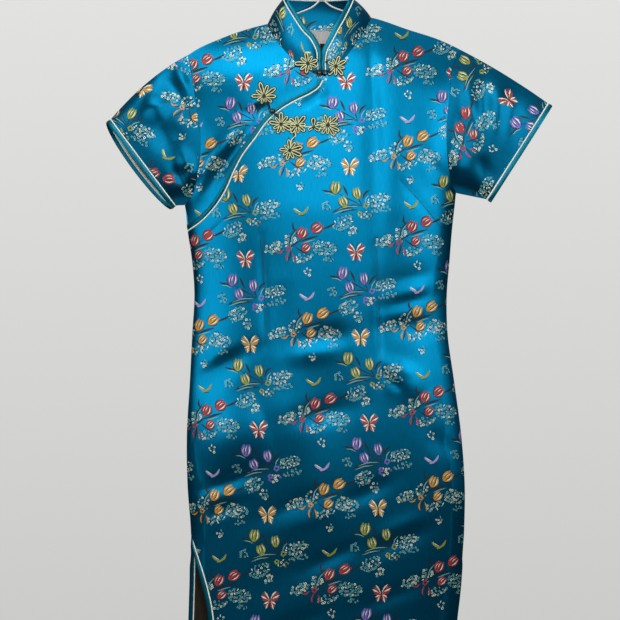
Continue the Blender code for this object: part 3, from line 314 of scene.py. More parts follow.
def cloth_material(name, shade, light, roughness, metallic, streaks, bump, anisotropy=0.0,
                   sheen=0.0):
    """A woven cloth: two close colours in streaks along the warp, and fine ribs of thread.

    Real threads lie about 0.1 mm apart. The streaks, given as a number a metre, are drawn about
    ten times as coarse, which is what it takes to show them.
    """
    material = bpy.data.materials.new(name)
    material.use_nodes = True
    tree = material.node_tree
    shader = tree.nodes["Principled BSDF"]
    place = add(tree, "ShaderNodeTexCoord").outputs["UV"]
    stretched = add(tree, "ShaderNodeMapping", Vector=place, Scale=(streaks, streaks / 14, 1.0))
    noise = add(tree, "ShaderNodeTexNoise", Vector=stretched.outputs[0], Scale=1.0, Detail=2.0)
    ramp = add(tree, "ShaderNodeValToRGB", Fac=noise.outputs["Fac"])
    for element, spot, code in zip(ramp.color_ramp.elements, (0.35, 0.65), (shade, light)):
        element.position = spot
        element.color = linear(code)
    tree.links.new(ramp.outputs["Color"], shader.inputs["Base Color"])
    ribs = add(tree, "ShaderNodeBump", Strength=bump, Distance=0.0003,
               Height=noise.outputs["Fac"])
    tree.links.new(ribs.outputs["Normal"], shader.inputs["Normal"])
    for key, value in (("Roughness", roughness), ("Metallic", metallic),
                       ("Anisotropic", anisotropy), ("Sheen Weight", sheen)):
        shader.inputs[key].default_value = value
    return material


# Satin: long smooth floats of thread that shine like metal, so that the turquoise is bright where
# it faces the light and turns navy where it tips away
SATIN = cloth_material("turquoise satin", "007199", "0079a5", 0.3, 0.97, 900, 0.08, 0.4)
# The same satin on the sleeves and the collar, in darker colours: painted shade for the sleeves,
# which turn away from the light
SHADED_SATIN = cloth_material("turquoise satin cut slanting", "00587a", "006083", 0.28, 0.97, 900,
                              0.08, 0.4)


def mesh_object(name, vertices, faces, material, smooth=True, uv=None):
    """An object of points in millimetres, with its cloth places as a UV map in metres."""
    mesh = bpy.data.meshes.new(name)
    mesh.from_pydata((np.asarray(vertices, float) * MM).tolist(), [], faces)
    if uv is not None:
        layer = mesh.uv_layers.new(name="UVMap")
        layer.data.foreach_set("uv", (uv * MM).astype(np.float32).ravel())
    if smooth:
        mesh.shade_smooth()
        mesh.set_sharp_from_angle(angle=math.radians(SHARP_ANGLE))
    if material:
        mesh.materials.append(material)
    item = bpy.data.objects.new(name, mesh)
    bpy.context.scene.collection.objects.link(item)
    return item


def wall(name, points, out, start, thickness, material, closed=False, places=None):
    """A cloth wall: a grid of points moved in by a start, and again by a thickness."""
    rows, columns = points.shape[:2]
    if places is None:
        places = np.stack([points[..., 0], points[..., 2]], -1)
    skins = [points - out * start, points - out * (start + thickness)]
    vertices = np.concatenate([skin.reshape(-1, 3) for skin in skins])
    layer = rows * columns
    outer, inner = np.arange(2 * layer).reshape(2, rows, columns)

    def quads(a, b, c, d):
        return np.stack([a, b, c, d], -1).reshape(-1, 4)

    shell = [quads(outer[:-1, :-1], outer[:-1, 1:], outer[1:, 1:], outer[1:, :-1]),
             quads(inner[:-1, :-1], inner[1:, :-1], inner[1:, 1:], inner[:-1, 1:]),
             quads(outer[0, 1:], outer[0, :-1], inner[0, :-1], inner[0, 1:]),
             quads(outer[-1, :-1], outer[-1, 1:], inner[-1, 1:], inner[-1, :-1])]
    if not closed:
        shell += [quads(outer[:-1, 0], outer[1:, 0], inner[1:, 0], inner[:-1, 0]),
                  quads(outer[1:, -1], outer[:-1, -1], inner[:-1, -1], inner[1:, -1])]
    faces = np.concatenate(shell)
    skin_faces = faces[:(rows - 1) * (columns - 1)]
    a, b, d = (vertices[skin_faces[:, k]] for k in (0, 1, 3))
    if (np.cross(b - a, d - a) * out[:-1, :-1].reshape(-1, 3)).sum() < 0:
        faces = faces[:, ::-1]
    uv = places.reshape(-1, 2)[faces % layer]
    uv[(faces >= layer).all(axis=1)] += (INNER_SHIFT, 0)
    if closed:
        faces = np.where(faces % columns == columns - 1, faces - columns + 1, faces)
    return mesh_object(name, vertices, faces.tolist(), material, uv=uv)


def declare(item, slot, *replaced):
    """Put a piece on the one body, and hide the solids that it stands for. Its slot is not used."""
    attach(item, "root")
    if replaced:
        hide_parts(*replaced)


def cloth_piece(item, slot, replaced):
    """Put a piece of cloth on the body, and hide the solid that it stands for."""
    declare(item, slot, replaced)


def make_front():
    """The front's grid: rows up from the hem, columns along the opening, neck and shoulder."""
    top = np.concatenate([opening_line(-(PIPING + GAP))[::-1], collar_line(COLLAR_RIGHT, (0, 1)),
                          shoulder_line(NECK_RIGHT, SHOULDER_RIGHT, N_SHOULDER)[1:]])
    columns = len(top)
    widths = np.interp(np.arange(columns), [0, N_OPENING + 1, columns - 1], [0, OPENING_SHARE, 1])
    levels = np.concatenate([np.linspace(HEM_Z, SLIT_Z, ROWS_SLIT + 1),
                             np.linspace(SLIT_Z, WAIST_Z, ROWS_SKIRT + 1)[1:]])
    left, right = side_line("front", "left", levels), side_line("front", "right", levels)
    hem = np.outer(1 - widths, left[0]) + np.outer(widths, right[0])
    waist = np.outer(1 - widths, left[-1]) + np.outer(widths, right[-1])
    skirt = coons(hem, waist, left, right, widths)
    armhole = even_path(ARMHOLES["front", "right"], N_ARMHOLE)[::-1]
    bodice_right = np.concatenate([
        side_line("front", "right", np.linspace(WAIST_Z, UNDERARM_RIGHT[1], ROWS_WAIST + 1)),
        armhole[1:]])
    bodice_left = side_line("front", "left",
                            np.linspace(WAIST_Z, top[0][1], ROWS_WAIST + N_ARMHOLE + 1))
    bodice = coons(waist, top, bodice_left, bodice_right, widths)
    points, out = face("front", np.concatenate([skirt, bodice[1:]]))
    out[ROWS_SLIT:, 0] = (-1, 0, 0)
    out[ROWS_SLIT:len(points) - N_ARMHOLE, -1] = (1, 0, 0)
    out[-1, -N_SHOULDER - 1:] = shoulder_out(points[-1, -N_SHOULDER - 1:, 0])
    return points, out


front = make_front()
front_cloth = wall("front_satin", *front, 0.0, CLOTH, SATIN,
                   places=cloth_lengths("front", front[0]))
cloth_piece(front_cloth, "satin_brocade", "front")

# Underlap: the small piece of the front under the opening, from a hidden edge up to the left
# shoulder. The same satin, set a little lower than the front that closes over it.
UNDERLAP_INSET, UNDERLAP_FLAT, UNDERLAP_FADE, UNDERLAP_REACH = 2.8, 10.0, 24.0, 20.0
# Creases fade out over these widths towards the shoulder, and towards the armhole from its x
CREASE_FADE_TOP, CREASE_FADE_SIDE, CREASE_SIDE_X = 25.0, 14.0, -196.0
N_UNDERLAP, N_UNDERLAP_SIDE = 56, 13
# Its right end runs under the front's edge through these places, up to the collar
UNDERLAP_END = [(12.0, -197.5), (1.5, -190.5)]
UNDERLAP_FOLDS = [
    (-75, -232, -126, -250, 9, 2.4), (-70, -222, -124, -238, 9, -1.6),
    (-104, -268, -180, -372, 8, 3.2), (-120, -258, -184, -340, 10, -2.6),
    (-196, -352, -174, -316, 7, -1.8), (-150, -210, -140, -270, 18, 1.6),
]


def underlap_inset(x, z):
    """How far the underlap lies under the front's outer face."""
    line = even_path(OPENING, 200)
    gaps = line - np.stack([x, z], -1)[..., None, :]
    i = np.argmin((gaps ** 2).sum(-1), -1)
    near = np.clip(i, 1, len(line) - 2)
    run = line[near + 1] - line[near - 1]
    gap = np.take_along_axis(gaps, i[..., None, None], -2)[..., 0, :]
    side = run[..., 0] * -gap[..., 1] - run[..., 1] * -gap[..., 0]
    distance = np.copysign(np.hypot(gap[..., 0], gap[..., 1]), -side)
    fade = np.clip((distance - UNDERLAP_FLAT) / UNDERLAP_FADE, 0, 1)
    return UNDERLAP_INSET * (1 - fade * fade * (3 - 2 * fade))


def laid(panel, flat, lift):
    """Points that lie a lift above the front or the underlap."""
    points, out = face("front", flat)
    if panel == "underlap":
        lift = lift - underlap_inset(flat[..., 0], flat[..., 1])
        lift = lift - underlap_crease(flat[..., 0], flat[..., 1])
    return points + out * np.reshape(lift * np.ones(flat.shape[:-1]), flat.shape[:-1] + (1,))


def underlap_crease(x, z):
    """The underlap's own creases, which fade out towards its edges."""
    from_top = np.clip((RIDGE_Z(x) - z) / CREASE_FADE_TOP, 0, 1)
    from_side = np.clip((x - CREASE_SIDE_X) / CREASE_FADE_SIDE, 0, 1)
    return fold_depth(UNDERLAP_FOLDS, x, z) * (from_top * from_side)


def make_underlap():
    """The underlap's grid, and the row at which its right edge joins the collar."""
    hidden = even_path(OPENING, N_UNDERLAP)
    run = unit(np.gradient(hidden, axis=0))
    hidden = hidden - UNDERLAP_REACH * np.stack([run[:, 1], -run[:, 0]], 1)
    low_z = OPENING[-1, 1] - UNDERLAP_REACH * OPENING_END_SLANT
    hidden[-1] = (SEAM["left"](low_z), low_z)
    armhole = even_path(ARMHOLES["front", "left"], N_ARMHOLE)[::-1]
    left = np.concatenate([
        side_line("front", "left", np.linspace(low_z, UNDERARM_LEFT[1], N_UNDERLAP_SIDE)),
        armhole[1:]])
    neck = collar_line(COLLAR_LEFT, (0, 1))
    rows_end = len(left) - len(neck)
    end = even_path([hidden[0], *UNDERLAP_END, neck[0]], rows_end)[:-1]
    top = shoulder_line(SHOULDER_LEFT, NECK_LEFT, N_UNDERLAP)
    widths = np.linspace(0, 1, N_UNDERLAP + 1)
    points, out = face("front", coons(hidden[::-1], top, left, np.concatenate([end, neck]),
                                      widths))
    out[:N_UNDERLAP_SIDE, 0] = (-1, 0, 0)
    out[-1] = shoulder_out(points[-1, :, 0])
    x, z = points[..., 0], points[..., 2]
    drop = underlap_inset(x, z) + underlap_crease(x, z)
    return points - out * drop[..., None], out, rows_end


underlap_points, underlap_out, underlap_end = make_underlap()
underlap_cloth = wall("underlap_satin", underlap_points, underlap_out, 0.0, CLOTH, SATIN,
                      places=cloth_lengths("front", underlap_points))
cloth_piece(underlap_cloth, "satin_brocade", "underlap")

# Back panel: one piece of satin, with the same slits, and the neckline that carries the collar.
# It is cut with two darts, and sewn to the front at the sides and the shoulders.
BACK_NECK = [(-79, -113.2), (-45, -119.5), (-4, -121.5), (38, -117), (71.5, -104)]
N_BACK_SHOULDER, N_BACK_NECK, ROWS_BACK = 20, 40, 84


def make_back():
    """The back's grid: rows up from the hem, columns along the shoulders and the neck."""
    slit_levels = np.linspace(HEM_Z, SLIT_Z, ROWS_SLIT + 1)
    edges = {}
    for edge, underarm in (("left", UNDERARM_LEFT), ("right", UNDERARM_RIGHT)):
        levels = np.concatenate([slit_levels, np.linspace(SLIT_Z, underarm[1], ROWS_BACK + 1)[1:]])
        edges[edge] = np.concatenate([side_line("back", edge, levels),
                                      even_path(ARMHOLES["back", edge], N_ARMHOLE)[::-1][1:]])
    top = np.concatenate([
        shoulder_line(SHOULDER_LEFT, NECK_LEFT, N_BACK_SHOULDER),
        even_path(BACK_NECK, N_BACK_NECK)[1:],
        shoulder_line(NECK_RIGHT, SHOULDER_RIGHT, N_BACK_SHOULDER)[1:]])
    widths = np.linspace(0, 1, len(top))
    hem = np.outer(1 - widths, edges["left"][0]) + np.outer(widths, edges["right"][0])
    points, out = face("back", coons(hem, top, edges["left"], edges["right"], widths))
    seam_rows = slice(ROWS_SLIT, ROWS_SLIT + ROWS_BACK + 1)
    out[seam_rows, 0], out[seam_rows, -1] = (-1, 0, 0), (1, 0, 0)
    for part in (slice(0, N_BACK_SHOULDER + 1), slice(-N_BACK_SHOULDER - 1, None)):
        out[-1, part] = shoulder_out(points[-1, part, 0])
    return points, out


back = make_back()
back_cloth = wall("back_satin", *back, 0.0, CLOTH, SATIN, places=cloth_lengths("back", back[0]))
cloth_piece(back_cloth, "satin_brocade", "back")

# Sleeves: short set-in tubes of satin, sewn round the armholes. The left one hangs open at its
# hem, so that its back half shows under its front half.
# Cuffs: lower corner, outer corner, middle y, half depth, how far the back half hangs lower, bow
CUFFS = {"left": ((-211.0, -376.5), (-305.5, -250.5), -1.0, 19.0, 11.0, 9.0),
         "right": ((237.8, -367.9), (327.0, -227.3), -2.0, 16.0, 0.0, 3.0)}
SLEEVE_FOLDS = {
    "left": [(-213, -172, -184, -228, 9, -3.0), (-262, -222, -218, -246, 17, -5.5),
             (-205, -296, -190, -328, 9, -3.0), (-232, -186, -206, -222, 11, 2.4),
             (-244, -262, -206, -298, 18, 4.0), (-216, -318, -196, -352, 8, 2.4),
             (-300, -270, -230, -380, 30, 3.0)],
    "right": [(212, -202, 216, -262, 9, -2.6), (255, -192, 257, -260, 12, -2.4),
              (232, -190, 236, -272, 11, 2.8), (205, -230, 200, -330, 10, 2.6),
              (278, -200, 270, -300, 16, 2.4), (226, -300, 246, -352, 12, 2.0),
              (330, -250, 250, -390, 70, 7.0)]}
SLEEVE_ROWS = 35
# Folds fade in over this depth from the seam's line and this share of the sleeve's length; the
# back half's lie a little to the side and are weaker
FOLD_FADE_Y, FOLD_FADE_SHARE, BACK_FOLD_SHIFT, BACK_FOLD_STRENGTH = 6.0, 0.125, 12.0, 0.6
# How far the first row of a sewn-on piece stands off its seam
SEAM_STEP = 0.4


def grid_out(points, closed, middle):
    """The way out at each point of a grid, away from a middle."""
    along = np.gradient(points, axis=1)
    if closed:
        along[:, 0] = along[:, -1] = points[:, 1] - points[:, -2]
    out = unit(np.cross(along, np.gradient(points, axis=0)))
    inward = ((points - middle) * out).sum(-1) < 0
    out[inward] *= -1
    return out


def make_sleeve(front_edge, back_edge, side):
    """A tube from the armhole, up its front and down its back, to the hem."""
    lower, outer, middle_y, half_depth, back_drop, bow = CUFFS[side]
    lower, outer = np.array(lower), np.array(outer)
    away = unit(np.array([lower[1] - outer[1], outer[0] - lower[0]]))
    away = away if away[1] < 0 else -away
    start = np.concatenate([front_edge, back_edge[::-1][1:]])
    start[0, 1] = start[-1, 1] = 0.0
    start[N_ARMHOLE, 1] = 0.0
    angle = math.pi * np.arange(len(start)) / N_ARMHOLE
    flat = lower + (outer - lower) * (1 - np.cos(angle))[:, None] / 2
    flat = flat + away * back_drop * np.maximum(-np.sin(angle), 0)[:, None]
    end = np.stack([flat[:, 0], middle_y - half_depth * np.sin(angle), flat[:, 1]], 1)
    rise = (bow * ((1 - np.cos(angle)) / 2) ** 4)[:, None] * np.array([0, 0, 1])
    s = np.linspace(0, 1, SLEEVE_ROWS)[:, None, None]
    points = start + (end - start) * s + rise * 4 * s * (1 - s)
    out = grid_out(points, True, points[:, :-1].mean(axis=1)[:, None])
    drop = 0
    for way, shift, strength in ((-1, 0.0, 1.0), (1, BACK_FOLD_SHIFT, BACK_FOLD_STRENGTH)):
        share = (np.clip(way * points[..., 1] / FOLD_FADE_Y, 0, 1)
                 * np.clip(s[..., 0] / FOLD_FADE_SHARE, 0, 1))
        folds = fold_depth(SLEEVE_FOLDS[side], points[..., 0] + shift, points[..., 2])
        drop = drop + folds * share * strength
    points = points - out * drop[..., None]
    out = grid_out(points, True, points[:, :-1].mean(axis=1)[:, None])
    points[0] = points[0] + unit(points[1] - points[0]) * SEAM_STEP
    # Places on the flat cloth: the front half as seen, the back half unfolded over the top edge
    across = unit(outer - lower) * (1 if side == "right" else -1)
    flat = points[..., [0, 2]] - lower
    round_way = flat @ across
    round_way[:, N_ARMHOLE:] = 2 * round_way[:, N_ARMHOLE:N_ARMHOLE + 1] - round_way[:, N_ARMHOLE:]
    places = np.stack([round_way, -(flat @ away)], -1)
    return points, out, np.array([away[0], 0.0, away[1]]), places


sleeves, sleeve_cloths = {}, {}
for side, panel, column in (("left", underlap_points, 0), ("right", front[0], -1)):
    sleeves[side] = make_sleeve(panel[-N_ARMHOLE - 1:, column],
                                back[0][-N_ARMHOLE - 1:, column], side)
    points, out, away, places = sleeves[side]
    sleeve_cloths[side] = wall("sleeve_%s_satin" % side, points, out, 0.0, CLOTH, SHADED_SATIN,
                               True, places)
    cloth_piece(sleeve_cloths[side], "satin_brocade", "sleeve_" + side)

# Stand collar: a stiffened band of satin sewn round the neckline, open in a V at the front,
# where its ends round away from each other.
COLLAR_BACK_TOP = [(-57.5, -78), (-32, -79), (-5, -79.5), (24, -79), (47.5, -78)]
COLLAR_ROWS, COLLAR_CLOTH, COLLAR_HEIGHT = 14, 1.8, 45.0
# How far the back's top edge stands out, and how far the band bows between its edges
COLLAR_SWELL, COLLAR_BOW, COLLAR_SINK = 8.0, 1.6, 0.2
NECK_MIDDLE = (-4.0, -9.0)


def make_collar():
    """The collar's grid: columns from the left end round the back, rows up from the neckline."""
    base = np.concatenate([
        underlap_points[underlap_end:, -1], back[0][-1, N_BACK_SHOULDER + 1:][:N_BACK_NECK - 1],
        front[0][-1, N_OPENING + 1:N_OPENING + N_NECK + 2][::-1]])
    tops = [collar_line(table, (2, 4, 3)) for table in (COLLAR_LEFT, COLLAR_RIGHT)]
    rear = even_path(COLLAR_BACK_TOP, N_BACK_NECK)[1:-1]
    swell = COLLAR_SWELL * np.sin(math.pi * np.arange(1, N_BACK_NECK) / N_BACK_NECK) ** 0.5
    rear = np.stack([rear[:, 0], swell, rear[:, 1]], 1)
    top = np.concatenate([tops[0], rear, tops[1][::-1]])
    s = np.linspace(0, 1, COLLAR_ROWS + 1)[:, None, None]
    points = base + (top - base) * s
    middle = points.copy()
    middle[..., :2] = NECK_MIDDLE
    out = grid_out(points, False, middle)
    points = points + out * (COLLAR_BOW * np.sin(math.pi * s) - COLLAR_SINK)
    points[0] = points[0] + unit(points[1] - points[0]) * SEAM_STEP
    return points, grid_out(points, False, middle)


collar = make_collar()
round_neck = np.linalg.norm(np.diff(collar[0][-1], axis=0), axis=1).cumsum()
collar_places = np.stack(np.meshgrid(np.concatenate([[0], round_neck]),
                                     np.linspace(0, COLLAR_HEIGHT, COLLAR_ROWS + 1)), -1)
collar_cloth = wall("collar_satin", *collar, 0.0, COLLAR_CLOTH, SHADED_SATIN, places=collar_places)
cloth_piece(collar_cloth, "satin_brocade", "collar")

# Linings: thin plain brown cloth inside the back and the sleeves, seen at the neck, at the slit
# and in the left sleeve. It is dull. The back's lining is painted nearly black: painted shade in
# the depth of the dress.
LINING, LINING_START = 0.8, CLOTH + 0.5
# A darker copy of the brown lining: painted shade inside the back
SHADED_BACK_LINING = cloth_material("dark brown lining", "1c160c", "2c2210", 0.5, 0.15, 700, 0.1)
LINING_CLOTH = cloth_material("brown lining", "5a3e18", "7a5522", 0.5, 0.15, 700, 0.1)
lining = wall("back_lining", *back, LINING_START, LINING, SHADED_BACK_LINING)
cloth_piece(lining, "lining", "lining_back")
for side in ("left", "right"):
    points, out = sleeves[side][:2]
    lining = wall("sleeve_%s_lining" % side, points, out, LINING_START, LINING, LINING_CLOTH,
                  True)
    cloth_piece(lining, "lining", "lining_sleeve_" + side)

# Piping and binding: a cream cord and a teal bias strip, sewn along every open edge. The strip is
# folded over the edge, so that it is slightly rounded.
# Bias strip: satin again, duller and greener than the body's. Piping: a matt cotton cord
TEAL = cloth_material("teal binding", "005e74", "006c84", 0.35, 0.85, 900, 0.08, 0.3)
CREAM = cloth_material("cream piping", "e4ecdc", "f2f6e8", 0.5, 0.0, 900, 0.1)
BINDING, BINDING_CLOTH, BINDING_CROWN, BINDING_LIFT = 6.0, 1.7, 0.55, 0.1
BINDING_LINES = np.linspace(0, 1, 7)
# How far the piping's middle lies under the edge's outer face
PIPING_SINK = {"opening": 0.4, "cuff": 0.6, "slit": 0.6, "collar": 0.9}


def make_cord_nodes():
    """Nodes that turn lines of edges into round cords of a given radius."""
    tree = bpy.data.node_groups.new("cord along lines", "GeometryNodeTree")
    for name, kind in (("Lines", "Geometry"), ("Radius", "Float"), ("Sides", "Int"),
                       ("Material", "Material")):
        tree.interface.new_socket(name, in_out="INPUT", socket_type="NodeSocket" + kind)
    tree.interface.new_socket("Cord", in_out="OUTPUT", socket_type="NodeSocketGeometry")
    given = add(tree, "NodeGroupInput")
    curve = add(tree, "GeometryNodeMeshToCurve", Mesh=given.outputs["Lines"])
    circle = add(tree, "GeometryNodeCurvePrimitiveCircle", Resolution=given.outputs["Sides"],
                 Radius=given.outputs["Radius"])
    tube = add(tree, "GeometryNodeCurveToMesh", Curve=curve.outputs[0],
               Profile_Curve=circle.outputs["Curve"], Fill_Caps=True)
    smooth = add(tree, "GeometryNodeSetShadeSmooth", Geometry=tube.outputs[0])
    done = add(tree, "GeometryNodeSetMaterial", Geometry=smooth.outputs[0],
               Material=given.outputs["Material"])
    result = add(tree, "NodeGroupOutput")
    tree.links.new(done.outputs[0], result.inputs[0])
    return tree


def realized(item, tree, **inputs):
    """Run nodes on an object and keep their result as its plain mesh."""
    modifier = item.modifiers.new("nodes", "NODES")
    modifier.node_group = tree
    for socket in tree.interface.items_tree:
        if socket.in_out == "INPUT" and socket.name.replace(" ", "_") in inputs:
            modifier[socket.identifier] = inputs[socket.name.replace(" ", "_")]
    item.update_tag()
    shown = item.evaluated_get(bpy.context.evaluated_depsgraph_get())
    item.data = bpy.data.meshes.new_from_object(shown)
    item.modifiers.clear()
    return item


CORD_NODES = make_cord_nodes()


def cord(name, paths, radius, material, sides=8, closed=False):
    """Round cords along paths in millimetres, as one piece."""
    vertices, edges = [], []
    for path in paths:
        first = len(vertices)
        vertices += [tuple(p) for p in np.asarray(path) * MM]
        edges += [(i, i + 1) for i in range(first, len(vertices) - 1)]
        if closed:
            edges.append((len(vertices) - 1, first))
    mesh = bpy.data.meshes.new(name)
    mesh.from_pydata(vertices, edges, [])
    item = bpy.data.objects.new(name, mesh)
    bpy.context.scene.collection.objects.link(item)
    return realized(item, CORD_NODES, Radius=radius * MM, Sides=sides, Material=material)


def sew_trim(edge, place, lines, outs, piping_line, closed=False):
    """A rounded binding through lines, and a piping along its own line, on an edge of cloth."""
    name = edge + "_trim" + place
    rises = BINDING_CROWN * np.sin(math.pi * BINDING_LINES) + BINDING_LIFT
    risen = np.stack([line + out * rise for line, out, rise in zip(lines, outs, rises)])
    strip = wall(name + "_binding", risen, np.stack(outs), 0.0, BINDING_CLOTH, TEAL, closed)
    cords = cord(name + "_piping", [piping_line], PIPING, CREAM, closed=closed)
    declare(strip, "teal_binding", "binding_" + edge + place)
    declare(cords, "cream_piping", "piping_" + edge + place)


def trim(edge, place, path, away, out, widths, closed=False):
    """Piping and binding that lie one beyond the other, away from a path along an edge."""
    start = 2 * GAP + 2 * PIPING
    lines = [path + away * (start + widths * s)[:, None] for s in BINDING_LINES]
    line = path + away * (GAP + PIPING) - out * PIPING_SINK[edge]
    sew_trim(edge, place, lines, [out] * len(lines), line[:-1] if closed else line, closed)


# Opening: the trims lie on the front's edge, one after the other down to the side seam
strip_lines = [face("front", opening_line(PIPING + GAP + BINDING * s)) for s in BINDING_LINES]
cord_points, cord_out = face("front", opening_line(0.0))
sew_trim("opening", "", [line for line, _ in strip_lines], [out for _, out in strip_lines],
         cord_points - cord_out * PIPING_SINK["opening"])

for side in ("left", "right"):
    points, out, away, _ = sleeves[side]
    path = points[-1]
    trim("cuff", "_" + side, path, np.broadcast_to(away, path.shape),
         unit(out[-1] - away * (out[-1] @ away)[:, None]), np.full(len(path), BINDING), True)

# Slits: the binding narrows to a point over this length, and its ends are drawn into the seam at
# the slit's top. The front right edge rounds back, and its trims lie behind the satin.
SLIT_TAPER, SLIT_END, SLIT_DRAWN, SLIT_SINK = 46.0, 0.05, 2.6, 0.6
TUCKED_BACK, TUCKED_IN = 3.9, 3.2
for panel, (points, out) in (("front", front), ("back", back)):
    for side, column in (("left", 0), ("right", -1)):
        path, normal = points[:ROWS_SLIT + 1, column], out[:ROWS_SLIT + 1, column].copy()
        normal[-1] = normal[-2]
        outward = np.cross(np.gradient(path, axis=0), normal)
        outward *= np.sign(outward[:, :1] * (-1 if side == "left" else 1))
        from_top = (SLIT_Z - path[:, 2]) / SLIT_TAPER
        drawn = SLIT_DRAWN * (1 - np.clip(from_top * 3, 0, 1))[:, None]
        path = path - unit(outward) * drawn - normal * drawn * SLIT_SINK
        if (panel, side) == ("front", "right"):
            path = path - normal * TUCKED_BACK - unit(outward) * TUCKED_IN
        trim("slit", "_%s_%s" % (panel, side), path, unit(outward), normal,
             BINDING * np.clip(from_top, 0.0, 1) + SLIT_END)

# Collar: along the ends the strips lie square to the edge, and round the back they stand on it.
# At the very ends they face the front, as wide as the room between the ends lets them be.
SQUARE_STEPS, SQUARE_FADE, FACING_STEPS, FACING_FADE = N_NECK - 4, 10, 8, 4
COLLAR_GAP, COLLAR_BINDING = 2.9, (3.6, 6.2)


def collar_edge():
    """The collar's edge, up one end, along the top and down the other end."""
    points, out = collar
    rows = range(1, COLLAR_ROWS)
    cells = [(r, 0) for r in rows] + [(COLLAR_ROWS, c) for c in range(points.shape[1])]
    cells += [(r, points.shape[1] - 1) for r in reversed(rows)]
    path = np.array([points[cell] for cell in cells])
    normal = np.array([out[cell] for cell in cells])
    rising = points[COLLAR_ROWS] - points[COLLAR_ROWS - 1]
    ends = {0: points[:, 0] - points[:, 1], points.shape[1] - 1: points[:, -1] - points[:, -2]}
    side = np.array([unit(ends[c][r]) if r < COLLAR_ROWS else unit(rising[c]) for r, c in cells])
    square = np.cross(unit(np.gradient(path, axis=0)), normal)
    square *= np.sign((square * side).sum(-1, keepdims=True))
    from_end = np.minimum(np.arange(len(cells)), np.arange(len(cells))[::-1]) - len(rows)
    share = np.clip((SQUARE_STEPS - np.clip(from_end, 0, None)) / SQUARE_FADE, 0, 1)[:, None]
    away = unit(square * share + side * (1 - share))
    front_way = np.clip((FACING_STEPS - from_end) / FACING_FADE, 0, 1)[:, None]
    across = np.stack([-np.sign(path[:, 0]), np.full(len(cells), 0.1), np.zeros(len(cells))], 1)
    away = unit(across * front_way + away * (1 - front_way))
    normal = unit(np.array([0, -1.0, 0]) * front_way + normal * (1 - front_way))
    normal = unit(normal - away * (normal * away).sum(-1, keepdims=True))
    room = np.linalg.norm(path - path[::-1], axis=1) / 2 - COLLAR_GAP
    return path, away, normal, np.clip(room, *COLLAR_BINDING)


trim("collar", "", *collar_edge())

# Woven flowers: coloured and pale silk threads that float on the satin in tulip sprigs, blossom
# sprays, butterflies and small birds. One repeat is drawn flat and laid over each panel.
THREADS = [("navy thread", "02202e", "052c3a"), ("aqua thread", "529c9e", "84bcb6"),
           ("cream thread", "d6dcc0", "f0f2dc"), ("green thread", "6c7626", "a0a648"),
           ("purple thread", "5a52a2", "7e72be"), ("red thread", "8c1c2a", "b84450"),
           ("yellow thread", "a4701e", "d69c3c"), ("lilac thread", "8e84ba", "b0a4d0")]
NAVY, AQUA, CREAM_THREAD, GREEN, PURPLE, RED, YELLOW, LILAC = range(8)
# Silk floats: each a little glossier than cotton, and far less than the satin round it
THREAD_CLOTHS = [cloth_material(name, shade, light, 0.42, 0.35, 700, 0.2, 0.2)
                 for name, shade, light in THREADS]
# One repeat is two rows tall, and each row's threads change
REPEAT_WIDTH, ROW_HEIGHT = 160.0, 123.0
# Rows: tulips, buds, butterfly, bird
ROW_THREADS = [(GREEN, RED, RED, GREEN), (PURPLE, YELLOW, YELLOW, LILAC)]
# In a plan, the thread that changes from row to row
OWN = -1


def oval(x, y, length, width, turn, thread, height):
    """A filled oval of thread; a turn of 0 stands it up."""
    a = np.linspace(0, 2 * math.pi, 13)[:-1]
    across, along = width / 2 * np.cos(a), length / 2 * np.sin(a)
    t = math.radians(turn)
    return [(np.stack([x + across * math.cos(t) - along * math.sin(t),
                       y + across * math.sin(t) + along * math.cos(t)], 1), thread, height)]


BLADE_STEPS, BLADE_ENDS = 7, (0.06, 0.94)


def blade(points, width, thread, height):
    """A leaf or a stem: a strip that tapers at both ends."""
    line = even_path(points, BLADE_STEPS)
    run = unit(np.gradient(line, axis=0))
    half = width / 2 * np.sin(math.pi * np.linspace(*BLADE_ENDS, BLADE_STEPS + 1))[:, None]
    side = np.stack([-run[:, 1], run[:, 0]], 1) * half
    return [(np.array([line[i] - side[i], line[i + 1] - side[i + 1], line[i + 1] + side[i + 1],
                       line[i] + side[i]]), thread, height) for i in range(BLADE_STEPS)]


def blossom(x, y, radius, turn, thread, height):
    """A small open flower: five lobes woven as an outline."""
    shapes = []
    for k in range(10):
        ends = [turn + 2 * math.pi * (k + j) / 10 for j in (0, 1)]
        far = [radius * (1.0 if (k + j) % 2 else 0.74) for j in (0, 1)]
        near = [reach * 0.5 for reach in far]
        shapes.append((np.array([(x + r * math.cos(a), y + r * math.sin(a)) for r, a in (
            (near[0], ends[0]), (far[0], ends[0]), (far[1], ends[1]), (near[1], ends[1]))]),
            thread, height))
    return shapes


# Blossoms of a spray: least distance, share that have petals, least and most radius, dash length
BLOSSOM_GAP, BLOSSOM_SHARE, BLOSSOM_RADII, DASH = 3.1, 0.75, (1.5, 2.3), 2.4


